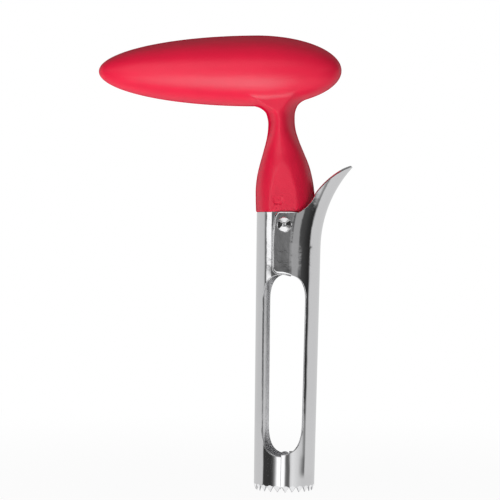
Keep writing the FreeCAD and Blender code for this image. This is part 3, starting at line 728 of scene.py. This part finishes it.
def fixed_half():
    """The half with the flats under the ears and the tab at the back seam."""
    lower, upper = lower_fixed_profile(), upper_fixed_profile()
    half = Half(lower, upper, False)
    lap_s = float(lower.from_x(-LAP_REACH))
    front = [(lap_s, WINDOW_BOTTOM)]
    corner = window_edge(lower, WINDOW_BOTTOM, "lower")
    front += [p for p in corner if p[0] > lap_s + CORNER_GAP]
    front += window_edge(upper, WINDOW_BOTTOM, "upper")[:-1]
    for x, z in ((0.0, WINDOW_TOP), (0.2 - FLAT_REACH, WINDOW_TOP - 0.9), (-FLAT_REACH, PIVOT[1]),
                 (1.5 - FLAT_REACH, SEAT_Z)):
        front.append((float(upper.from_x(x)), z))
    front.append((0.0, SEAT_Z))
    sill_end = float(lower.from_x(3.2))
    back = [p for p in mirror_points(front)[1:] if p[1] > WINDOW_TOP / 2 or p[0] < -sill_end]
    back += tab_edge(lower)
    back.append((-lap_s, WINDOW_BOTTOM))
    outline = toothed_edge(lap_s, half) + front + lowered(back)
    return sheet_mesh("steel_fixed", half, rounded(outline, 0.3, 3.0))


# Handle: the surface where a depth function is zero


def level_curves():
    """Smooth curves through the stem's sections: middle, half width and half depth by height."""
    z = np.array([row[0] for row in STEM_LEVELS]) + SEAT_Z
    middle = np.array([(row[1] + row[2]) / 2 for row in STEM_LEVELS])
    wide = np.array([(row[2] - row[1]) / 2 for row in STEM_LEVELS])
    deep = np.array([row[3] for row in STEM_LEVELS])
    fine = np.linspace(z[0], z[-1], 400)

    def smooth(values):
        slopes = np.gradient(values, z)
        index = np.clip(np.searchsorted(z, fine) - 1, 0, len(z) - 2)
        h = z[index + 1] - z[index]
        t = (fine - z[index]) / h
        return ((2 * t ** 3 - 3 * t ** 2 + 1) * values[index]
                + (t ** 3 - 2 * t ** 2 + t) * h * slopes[index]
                + (-2 * t ** 3 + 3 * t ** 2) * values[index + 1]
                + (t ** 3 - t ** 2) * h * slopes[index + 1])

    return fine, smooth(middle), smooth(wide), smooth(deep)


LEVELS = level_curves()


def soft_min(a, b, k):
    """The lower of two values, with a smooth change between them."""
    h = np.clip(0.5 + 0.5 * (b - a) / k, 0, 1)
    return b * (1 - h) + a * h - k * h * (1 - h)


def soft_max(a, b, k):
    return -soft_min(-a, -b, k)


def smooth_step(low, high, value):
    t = np.clip((value - low) / (high - low), 0, 1)
    return t * t * (3 - 2 * t)


def hump(heights, value):
    """Rises from 0 to 1 between the first two heights and falls back between the others."""
    start, full, end, gone = heights
    return smooth_step(start, full, value) * (1 - smooth_step(end, gone, value))


def handle_depth(p, extra=0.0):
    """Below zero inside the handle. p holds points in millimetres. extra deepens the neck."""
    x, y, z = p[..., 0], p[..., 1], p[..., 2]
    fine, middle, wide, deep = LEVELS
    deep = deep + extra * hump(SHADED_HEIGHTS, fine - SEAT_Z)
    m = np.interp(z, fine, middle)
    w = np.interp(z, fine, wide)
    d = np.interp(z, fine, deep)
    stem = (np.sqrt(((x - m) / w) ** 2 + (y / d) ** 2) - 1) * np.minimum(w, d)
    # A soft ridge up the front and back of the neck
    rise = z - SEAT_Z
    away = np.clip(np.abs(x - m) / w, 0, 1)
    stem = stem + NECK_RIDGE * 4 * away * (1 - away) * hump(RIDGE_HEIGHTS, rise)
    face = FACET_DEPTH - rise * FACET_SLOPE
    # A shallow round mark with an upright floor
    mark = np.hypot(x - MARK[0], z - MARK[1])
    sunk = (MARK_DEPTH - (z - MARK[1]) * FACET_SLOPE) * (1 - smooth_step(*MARK_RADII, mark))
    face = face - np.where(y < 0, sunk, 0)
    facet = np.abs(y) - face + x * 0.05
    stem = soft_max(stem, facet, 0.2)
    stem = soft_max(stem, z - (SEAT_Z + STEM_TOP), STEM_ROUND)
    stem = soft_max(stem, SEAT_Z - z, STEM_ROUND)
    dx = x - GRIP_CENTRE[0]
    length = np.where(dx < 0, GRIP_LONG, GRIP_SHORT)
    grip = np.sqrt((dx / length) ** 2 + ((z - GRIP_CENTRE[1]) / GRIP_HALF_HEIGHT) ** 2
                   + (y / GRIP_HALF_DEPTH) ** 2)
    grip = (grip - 1) * GRIP_HALF_DEPTH
    return soft_min(stem, grip, GRIP_BLEND)


def shading_depth(p):
    """The depth that the handle's shading follows."""
    return handle_depth(p, SHADED_NECK)


def gradient(f, p, h=0.02):
    """The slope of a depth function at points."""
    parts = []
    for axis in range(3):
        step = np.zeros(3)
        step[axis] = h
        parts.append((f(p + step) - f(p - step)) / (2 * h))
    return np.stack(parts, -1)


def surface_net(f, low, high, step):
    """Points and quads of the surface f = 0 in a box, pulled on to it."""
    axes = [np.arange(a, b + step, step) for a, b in zip(low, high)]
    grid = np.stack(np.meshgrid(*axes, indexing="ij"), -1)
    value = f(grid)
    sign = value < 0
    shape = np.array(value.shape) - 1
    total = np.zeros(tuple(shape) + (3,))
    count = np.zeros(tuple(shape))
    corners = [(i, j, k) for i in (0, 1) for j in (0, 1) for k in (0, 1)]

    def view(array, corner):
        i, j, k = corner
        return array[i:i + shape[0], j:j + shape[1], k:k + shape[2]]

    for a in corners:
        for axis in range(3):
            if a[axis]:
                continue
            b = list(a)
            b[axis] = 1
            va, vb = view(value, a), view(value, b)
            cross = (va < 0) != (vb < 0)
            t = np.where(cross, va / np.where(cross, va - vb, 1), 0)
            spot = view(grid, a) + (view(grid, b) - view(grid, a)) * t[..., None]
            total += np.where(cross[..., None], spot, 0)
            count += cross
    used = count > 0
    number = np.full(tuple(shape), -1)
    number[used] = np.arange(used.sum())
    points = total[used] / count[used][:, None]
    for _ in range(4):
        g = gradient(f, points)
        points = points - g * (f(points) / np.maximum(np.sum(g * g, axis=1), 1e-6))[:, None]
    quads = []
    for axis in range(3):
        u, v = [a for a in range(3) if a != axis]
        where = np.argwhere(np.diff(sign, axis=axis))
        keep = (where[:, u] > 0) & (where[:, v] > 0)
        keep &= (where[:, u] < shape[u]) & (where[:, v] < shape[v])
        where = where[keep]
        flip = sign[tuple(where.T)]
        ring = []
        for du, dv in ((1, 1), (0, 1), (0, 0), (1, 0)):
            cell = where.copy()
            cell[:, u] -= du
            cell[:, v] -= dv
            ring.append(number[tuple(cell.T)])
        ring = np.stack(ring, -1)
        if axis == 1:
            flip = ~flip
        ring[flip] = ring[flip][:, ::-1]
        quads.append(ring)
    return points, np.concatenate(quads)


def unit(v):
    return v / np.maximum(np.linalg.norm(v, axis=1), 1e-9)[:, None]


RIM_WIDTH = 1.0
LIP_HEIGHT = 0.5


def shell_mesh(name, side, points, quads):
    """One shell, cut off at the seam, with a rim turned inward there."""
    mesh = bpy.data.meshes.new(name)
    mesh.from_pydata([tuple(p) for p in points], [], quads.tolist())
    mesh.validate()
    solid = bmesh.new()
    solid.from_mesh(mesh)
    bmesh.ops.recalc_face_normals(solid, faces=solid.faces)
    everything = solid.verts[:] + solid.edges[:] + solid.faces[:]
    bmesh.ops.bisect_plane(solid, geom=everything, dist=1e-5, plane_co=(0, side * 0.03, 0),
                           plane_no=(0, -side, 0), clear_outer=True)
    rim = [e for e in solid.edges if e.is_boundary]
    made = bmesh.ops.extrude_edge_only(solid, edges=rim)["geom"]
    fresh = [v for v in made if isinstance(v, bmesh.types.BMVert)]
    places = np.array([tuple(v.co) for v in fresh])
    for v, n in zip(fresh, unit(gradient(handle_depth, places))):
        v.co.x -= n[0] * RIM_WIDTH
        v.co.z -= n[2] * RIM_WIDTH
    if side > 0:
        # The lip that closes the seam from inside
        foot = [e for e in made if isinstance(e, bmesh.types.BMEdge) and e.is_boundary]
        lip = bmesh.ops.extrude_edge_only(solid, edges=foot)["geom"]
        for v in lip:
            if isinstance(v, bmesh.types.BMVert):
                v.co.y -= LIP_HEIGHT
    solid.to_mesh(mesh)
    solid.free()
    spots = np.array([tuple(v.co) for v in mesh.vertices])
    normals = unit(gradient(shading_depth, spots))
    normals[handle_depth(spots) < -0.3] = (0, -side, 0)
    mesh.transform(Matrix.Scale(MM, 4))
    mesh.shade_smooth()
    mesh.normals_split_custom_set_from_vertices([tuple(n) for n in normals])
    return mesh


def handle_halves():
    """The two shells of the handle."""
    step = 0.55
    low = (-83.0, -14.2, SEAT_Z - 1.0)
    high = (24.0, 14.2, 192.5)
    points, quads = surface_net(handle_depth, low, high, step)
    names = (("handle_front", -1, "handle_front_shell"), ("handle_back", 1, "handle_back_shell"))
    for name, side, node in names:
        mesh = shell_mesh(name, side, points, quads)
        new_object(name, mesh, "handle", node)
        mesh.materials.append(MATERIALS["handle"])


# Rivet


def lathe(name, outline, segments, wave):
    """Turns an outline of (radius, height) about the Y axis at the pivot; height runs to -Y.
    wave lifts its points by radius and angle."""
    points = []
    for radius, height in outline:
        for index in range(segments):
            a = 2 * math.pi * index / segments
            points.append((PIVOT[0] + radius * math.cos(a), -(height + wave(radius, a)),
                           PIVOT[1] + radius * math.sin(a)))
    polygons = []
    for ring in range(len(outline) - 1):
        for index in range(segments):
            j = (index + 1) % segments
            a, b = ring * segments, (ring + 1) * segments
            polygons.append((a + index, a + j, b + j, b + index))
    polygons.append(tuple(reversed(range(segments))))
    polygons.append(tuple((len(outline) - 1) * segments + i for i in range(segments)))
    mesh = bpy.data.meshes.new(name)
    mesh.from_pydata([tuple(c * MM for c in p) for p in points], [], polygons)
    solid = bmesh.new()
    solid.from_mesh(mesh)
    bmesh.ops.recalc_face_normals(solid, faces=solid.faces)
    solid.to_mesh(mesh)
    solid.free()
    mesh.shade_smooth()
    return mesh


RIVET_SEAT = 12.75
RIVET_TOP = 13.75
RIVET_EDGE = 2.95
RIVET_HOLLOW = 0.42
# Where the side wedges start and end, in degrees round the head, and how steep they are
WEDGE_TURNS = (0, 36, 48, 137, 149, 214, 226, 342, 352, 360)
WEDGE_SHARES = (1, 1, 0, 0, 1, 1, 0, 0, 1, 1)
WEDGE_ASIDE = 0.41
WEDGE_UP = 0.2


def rivet_head():
    """The shank, the rounded rim, the pressed face and the small hollow in its middle."""
    outline = [(1.9, 4.0), (1.9, RIVET_SEAT), (3.05, RIVET_SEAT)]
    for radius, rise in ((3.2, 0.04), (3.23, 0.12), (3.18, 0.2), (3.08, 0.25)):
        outline.append((radius, RIVET_SEAT + rise))
    for radius in np.linspace(RIVET_EDGE, RIVET_HOLLOW, 16):
        outline.append((radius, RIVET_TOP))
    for radius, drop in ((0.36, 0.03), (0.30, 0.1), (0.24, 0.18), (0.12, 0.2)):
        outline.append((radius, RIVET_TOP - drop))
    return outline


def wedges(radius, angle):
    """The rivet's head is pressed in four wedges: the two at the sides lean out and up."""
    if not RIVET_HOLLOW <= radius <= RIVET_EDGE + 0.01:
        return 0.0
    side = float(np.interp(math.degrees(angle) % 360, WEDGE_TURNS, WEDGE_SHARES))
    aside, rise = abs(radius * math.cos(angle)), radius * math.sin(angle)
    steep = WEDGE_ASIDE * max(0.0, aside - 0.7) + WEDGE_UP * rise
    plain = 0.13 * max(0.0, radius - 0.9)
    return -side * steep - (1 - side) * plain - 0.03 * min(radius, 0.9)


# Materials


class Tree:
    """Short ways to add nodes to a material or world."""

    def __init__(self, tree):
        self.nodes = tree.nodes
        self.links = tree.links

    def feed(self, socket, given):
        if isinstance(given, bpy.types.NodeSocket):
            self.links.new(given, socket)
        elif socket.type == "RGBA":
            socket.default_value = (*(given if isinstance(given, tuple) else 3 * (given,)), 1)
        else:
            socket.default_value = given

    def maths(self, kind, a, b=0.0):
        node = self.nodes.new("ShaderNodeMath")
        node.operation = kind
        self.feed(node.inputs[0], a)
        self.feed(node.inputs[1], b)
        return node.outputs[0]

    def step(self, value, low_end, high_end, below=0.0, above=1.0):
        """Goes smoothly from one level to the other between two values."""
        node = self.nodes.new("ShaderNodeMapRange")
        node.interpolation_type = "SMOOTHSTEP"
        for name, given in (("Value", value), ("From Min", low_end), ("From Max", high_end),
                            ("To Min", below), ("To Max", above)):
            self.feed(node.inputs[name], given)
        return node.outputs["Result"]

    def mix(self, factor, a, b):
        node = self.nodes.new("ShaderNodeMix")
        node.data_type = "RGBA"
        self.feed(node.inputs[0], factor)
        self.feed(node.inputs[6], a)
        self.feed(node.inputs[7], b)
        return node.outputs[2]

    def mix_shaders(self, factor, a, b):
        node = self.nodes.new("ShaderNodeMixShader")
        for socket, given in zip(node.inputs, (factor, a, b)):
            self.links.new(given, socket)
        return node.outputs[0]

    def place(self):
        """X, Y, Z on the object, as one socket and as three."""
        whole = self.nodes.new("ShaderNodeTexCoord").outputs["Object"]
        split = self.nodes.new("ShaderNodeSeparateXYZ")
        self.links.new(whole, split.inputs[0])
        return whole, split.outputs

    def noise(self, place, scale, detail):
        node = self.nodes.new("ShaderNodeTexNoise")
        for name, given in (("Scale", scale), ("Detail", detail), ("Vector", place)):
            self.feed(node.inputs[name], given)
        return node.outputs["Fac"]

    def bump(self, height, strength, distance):
        node = self.nodes.new("ShaderNodeBump")
        for name, given in (("Strength", strength), ("Distance", distance), ("Height", height)):
            self.feed(node.inputs[name], given)
        return node.outputs["Normal"]

    def glow(self, kind, colour, strength):
        """An emission or background shader."""
        node = self.nodes.new(kind)
        self.feed(node.inputs["Color"], colour)
        node.inputs["Strength"].default_value = strength
        return node.outputs[0]

    def angle(self, x, y, turn):
        """Direction round the studio. The right side is turned on by some radians."""
        ahead = self.maths("ADD", self.maths("MULTIPLY", x, -FORWARD.x),
                           self.maths("MULTIPLY", y, -FORWARD.y))
        aside = self.maths("ADD", self.maths("MULTIPLY", x, RIGHT.x),
                           self.maths("MULTIPLY", y, RIGHT.y))
        plain = self.maths("ARCTAN2", aside, ahead)
        return self.maths("ADD", plain, self.maths("MULTIPLY", turn, self.step(plain, 0.8, 1.2)))

    def bands(self, angle, stops):
        """Grey levels by direction, from a list of (degrees, level)."""
        node = self.nodes.new("ShaderNodeValToRGB")
        share = self.maths("ADD", self.maths("DIVIDE", angle, 2 * math.pi), 0.5)
        self.links.new(share, node.inputs["Fac"])
        ramp = node.color_ramp
        for index, (degrees, level) in enumerate(stops):
            position = (degrees + 180) / 360
            element = ramp.elements[index] if index < 2 else ramp.elements.new(position)
            element.position = position
            element.color = (level, level, level, 1)
        return node.outputs["Color"]


def material(name, **given):
    """A new material, its nodes and its shader, with sockets set by their names."""
    made = bpy.data.materials.new(name)
    made.use_nodes = True
    shader = made.node_tree.nodes["Principled BSDF"]
    for socket, value in given.items():
        shader.inputs[socket.replace("_", " ")].default_value = value
    return made, Tree(made.node_tree), shader.inputs


def steel(name, colour, roughness):
    """Polished sheet: streaks of roughness along Z, soft waves, and fine dents at the top."""
    made, tree, shader = material(name, Metallic=1.0, Base_Color=(*colour, 1))
    place, (_, _, z) = tree.place()
    stretch = tree.nodes.new("ShaderNodeMapping")
    stretch.inputs["Scale"].default_value = (1, 1, 0.12)
    tree.feed(stretch.inputs["Vector"], place)
    spread = tree.nodes.new("ShaderNodeMapRange")
    spread.inputs["To Min"].default_value = roughness * 0.7
    spread.inputs["To Max"].default_value = roughness * 1.5
    tree.feed(spread.inputs["Value"], tree.noise(stretch.outputs["Vector"], 900, 3))
    tree.feed(shader["Roughness"], spread.outputs["Result"])
    upper_part = tree.step(z, 0.09, 0.096, 0.0, 0.13)
    dents = tree.maths("MULTIPLY", tree.noise(place, 420, 3), upper_part)
    relief = tree.maths("ADD", tree.noise(place, 55, 2), dents)
    tree.feed(shader["Normal"], tree.bump(relief, 0.3, 0.0008))
    return made


def satin_plastic(name, colour):
    """Moulded plastic: faint patches of colour, a fine grain, and less sheen at the edges."""
    made, tree, shader = material(name, Roughness=0.31)
    facing = tree.nodes.new("ShaderNodeLayerWeight").outputs["Facing"]
    tree.feed(shader["Specular IOR Level"], tree.step(facing, 0.4, 0.8, 0.53, 0.0))
    place, _ = tree.place()
    dark, light = (tuple(c * share for c in colour) for share in (0.94, 1.06))
    tree.feed(shader["Base Color"], tree.mix(tree.noise(place, 120, 4), dark, light))
    tree.feed(shader["Normal"], tree.bump(tree.noise(place, 2200, 3), 0.35, 0.0002))
    return made


MATERIALS = {
    "steel": steel("polished_steel", (0.76, 0.76, 0.77), 0.07),
    "cut_steel": steel("cut_steel_edge", (0.82, 0.82, 0.83), 0.19),
    # Darker and rougher steel on the teeth's edges: the roughness is ground steel, the darkness
    # is painted shade on rims that face sideways and down
    "shaded_tooth_steel": steel("tooth_edge_painted_shade", (0.34, 0.34, 0.35), 0.3),
    "inner_steel": steel("inner_steel", (0.75, 0.75, 0.76), 0.17),
    "rivet": steel("rivet_steel", (0.74, 0.74, 0.75), 0.13),
    "handle": satin_plastic("red_plastic", (0.54, 0.004, 0.032)),
    "core": satin_plastic("core_plastic", (0.045, 0.045, 0.05)),
}

# Pieces

new_object("barrel_moving_sheet", moving_half(), "steel", "moving_half")
new_object("barrel_fixed_sheet", fixed_half(), "steel", "fixed_half")
handle_halves()
for name, node in (("rivet_front_head", "rivet_post"), ("rivet_back_head", "rivet_pin")):
    head = lathe(name, rivet_head(), 144, wedges)
    if node == "rivet_pin":
        head.transform(Matrix.Scale(-1, 4, (0, 1, 0)))
        head.flip_normals()
    head.materials.append(MATERIALS["rivet"])
    new_object(name, head, "rivet", node)
frame["nodes"]["handle_core"].material_slots[0].material = MATERIALS["core"]

# Camera

DISTANCE = 817.0
ASIDE = 15.4
EYE_Z = 100.2
ROLL = math.radians(0.63)
HALF_WIDTH = 105.0

aim = -RIGHT * ASIDE + Vector((0, 0, EYE_Z))
camera_data = bpy.data.cameras.new("camera")
camera = bpy.data.objects.new("camera", camera_data)
bpy.context.scene.collection.objects.link(camera)
camera.location = (aim - FORWARD * DISTANCE) * MM
camera.rotation_mode = "QUATERNION"
look = FORWARD.to_track_quat("-Z", "Y")
camera.rotation_quaternion = look @ Matrix.Rotation(ROLL, 3, "Z").to_quaternion()
camera_data.sensor_width = 36.0
camera_data.lens = camera_data.sensor_width / 2 * DISTANCE / HALF_WIDTH
camera_data.clip_start = 0.05
camera_data.clip_end = 20.0
bpy.context.scene.camera = camera

# Floor, studio and lamps

# Grey levels that the steel mirrors, by direction round the studio in degrees from the
# camera's side, right positive: far away at eye level, the room, and four zones of the table,
# of which MIDDLE is the outermost and TABLE the innermost
REAR_LEFT = [(-180, 0.85), (-98, 0.8), (-93, 0.5)]
REAR_RIGHT = [(60, 0.06), (92, 0.03), (95, 0.3), (99, 0.88), (180, 0.85)]
FAR_BANDS = REAR_LEFT + [
    (-88, 0.1), (-85, 0.2), (-82, 1.5), (-64, 1.6), (-36, 1.5), (-29, 0.5), (-24, 0.22),
    (-18, 0.18), (-12, 0.36), (-4, 0.45), (18, 0.55), (32, 0.5), (40, 0.42), (45, 0.08)
] + REAR_RIGHT
ROOM_BANDS = REAR_LEFT + [
    (-88, 0.08), (-60, 0.05), (-15, 0.08), (5, 0.16), (11, 0.24), (15, 0.45), (28, 0.5),
    (33, 0.1)] + REAR_RIGHT
MIDDLE_BANDS = REAR_LEFT + [
    (-88, 0.08), (-60, 0.05), (-52, 0.2), (-44, 1.6), (-6, 1.6), (2, 0.3)] + ROOM_BANDS[7:]
TABLE_BANDS = [
    (-180, 0.85), (-92, 0.85), (-90, 0.45), (-87, 0.06), (-56, 0.05), (-48, 0.08), (-44, 0.14),
    (-40, 0.31), (-36, 0.6), (-32, 1.17), (-28, 1.7), (-3, 1.6), (1, 0.8), (5, 0.25),
    (10, 0.15), (15, 0.2), (21, 1.0), (30, 1.15), (52, 0.95), (70, 0.85), (180, 0.85)]
MOUTH_BANDS = TABLE_BANDS[:-3] + [
    (46, 1.0), (52, 0.95), (58, 0.75), (62, 0.6), (67, 0.39), (76, 0.18), (79, 0.25), (83, 0.9),
    (180, 0.85)]
EDGE_BANDS = TABLE_BANDS[:-3] + [
    (52, 0.95), (66, 0.85), (72, 0.5), (77, 0.3), (80, 0.4), (84, 0.9), (180, 0.85)]
# How bright the steel mirrors these levels
MIRRORED = 0.82
# The right side of the room is turned on by this many radians
ROOM_TURN = 0.28
FLOOR_REACH = 3.0

floor_mesh = bpy.data.meshes.new("floor")
corners = [(x * FLOOR_REACH, y * FLOOR_REACH, 0) for x, y in ((-1, -1), (1, -1), (1, 1), (-1, 1))]
floor_mesh.from_pydata(corners, [], [(0, 1, 2, 3)])
floor = bpy.data.objects.new("floor", floor_mesh)
bpy.context.scene.collection.objects.link(floor)
floor_material, table, _ = material("floor_white", Base_Color=(0.85, 0.85, 0.85, 1),
                                    Roughness=0.9, Specular_IOR_Level=0.1)
floor_mesh.materials.append(floor_material)
_, (x, y, _) = table.place()
away = table.maths("SQRT", table.maths("ADD", table.maths("MULTIPLY", x, x),
                                       table.maths("MULTIPLY", y, y)))
room_side = table.bands(table.angle(x, y, ROOM_TURN), ROOM_BANDS)
straight = table.angle(x, y, 0.0)
# A direction that leaves the barrel's side meets the table a little further round
beside = table.maths("MULTIPLY", table.maths("SINE", table.maths("MULTIPLY", straight, 0.5)),
                     table.maths("DIVIDE", RADIUS * MM, table.maths("MAXIMUM", away, 0.025)))
straight = table.maths("ADD", straight, beside)
near_side = table.bands(straight, TABLE_BANDS)
mouth_side = table.bands(straight, MOUTH_BANDS)
edge_side = table.bands(straight, EDGE_BANDS)
mirrored = table.mix(table.step(away, 0.05, 0.08), near_side, mouth_side)
mirrored = table.mix(table.step(away, 0.11, 0.15), mirrored, edge_side)
mirrored = table.mix(table.step(away, 0.018, 0.023), 1.3, mirrored)
middle_side = table.bands(table.angle(x, y, ROOM_TURN), MIDDLE_BANDS)
mirrored = table.mix(table.step(away, 0.27, 0.39), mirrored, middle_side)
mirrored = table.mix(table.step(away, 0.6, 0.8), mirrored, room_side)
mirrored = table.glow("ShaderNodeEmission", mirrored, MIRRORED)
path = table.nodes.new("ShaderNodeLightPath")
seen = table.maths("MULTIPLY", path.outputs["Is Camera Ray"],
                   table.step(away, 0.05, 0.4, 0.94, 1.0))
white = table.glow("ShaderNodeEmission", 1.0, 1.0)
plain = table.mix_shaders(seen, table.nodes["Principled BSDF"].outputs[0], white)
both = table.mix_shaders(path.outputs["Is Glossy Ray"], plain, mirrored)
table.feed(table.nodes["Material Output"].inputs["Surface"], both)

world = bpy.data.worlds.new("studio")
bpy.context.scene.world = world
world.use_nodes = True
sky = Tree(world.node_tree)
sky.nodes.clear()
split = sky.nodes.new("ShaderNodeSeparateXYZ")
sky.feed(split.inputs[0], sky.nodes.new("ShaderNodeTexCoord").outputs["Generated"])
x, y, height = split.outputs
angle = sky.angle(x, y, sky.step(height, -0.02, 0.0, ROOM_TURN, 0.0))
glossy = sky.mix(sky.step(height, -0.024, -0.014), sky.bands(angle, ROOM_BANDS),
                 sky.bands(angle, FAR_BANDS))
around = sky.maths("ABSOLUTE", angle)
overhead = sky.step(height, 0.7, 0.9, 0.04, 0.22)
behind = sky.step(height, 0.2, 0.5, 0.85, 0.3)
overhead = sky.mix(sky.step(around, 1.65, 1.95), overhead, behind)
panel = sky.maths("ABSOLUTE", sky.maths("ADD", angle, 0.3))
panel = sky.maths("MULTIPLY", sky.step(panel, 0.45, 0.7, 1.0, 0.0),
                  sky.maths("MULTIPLY", sky.step(height, 0.14, 0.22), sky.step(
                      height, 0.38, 0.5, 1.0, 0.0)))
overhead = sky.mix(panel, overhead, 1.5)
glossy = sky.mix(sky.step(height, 0.04, 0.12), glossy, overhead)
glossy_side = sky.glow("ShaderNodeBackground", glossy, MIRRORED)
soft_side = sky.glow("ShaderNodeBackground", 0.38, 1.0)
white = sky.glow("ShaderNodeBackground", 1.0, 1.0)
path = sky.nodes.new("ShaderNodeLightPath")
studio = sky.mix_shaders(path.outputs["Is Glossy Ray"], soft_side, glossy_side)
final = sky.mix_shaders(path.outputs["Is Camera Ray"], studio, white)
output = sky.nodes.new("ShaderNodeOutputWorld")
sky.feed(output.inputs["Surface"], final)


def lamp(name, place, aim_at, size, power, spread=180):
    """A soft lamp that the steel doesn't mirror."""
    data = bpy.data.lights.new(name, "AREA")
    data.shape = "RECTANGLE"
    data.size, data.size_y = size
    data.energy = power
    data.spread = math.radians(spread)
    item = bpy.data.objects.new(name, data)
    bpy.context.scene.collection.objects.link(item)
    item.location = place
    item.rotation_mode = "QUATERNION"
    item.rotation_quaternion = (Vector(aim_at) - Vector(place)).to_track_quat("-Z", "Y")
    item.visible_camera = False
    item.visible_glossy = False


lamp("key_lamp", (-0.5, -0.85, 0.22), (0, 0, 0.12), (0.5, 0.4), 2.0)
lamp("fill_lamp", (0.75, -0.7, 0.2), (0, 0, 0.12), (0.4, 0.4), 1.3)
lamp("front_lamp", (-0.14, -0.9, 0.29), (0, 0, 0.125), (0.35, 0.14), 0.45)
lamp("table_lamp", (-0.1, -0.275, 0.001), (-0.1, -0.275, 1), (0.3, 0.25), 2.3, 150)
lamp("back_lamp", (0.3, 0.9, 0.35), (0, 0, 0.12), (0.5, 0.4), 1.2)

bpy.context.scene.view_settings.view_transform = "Standard"
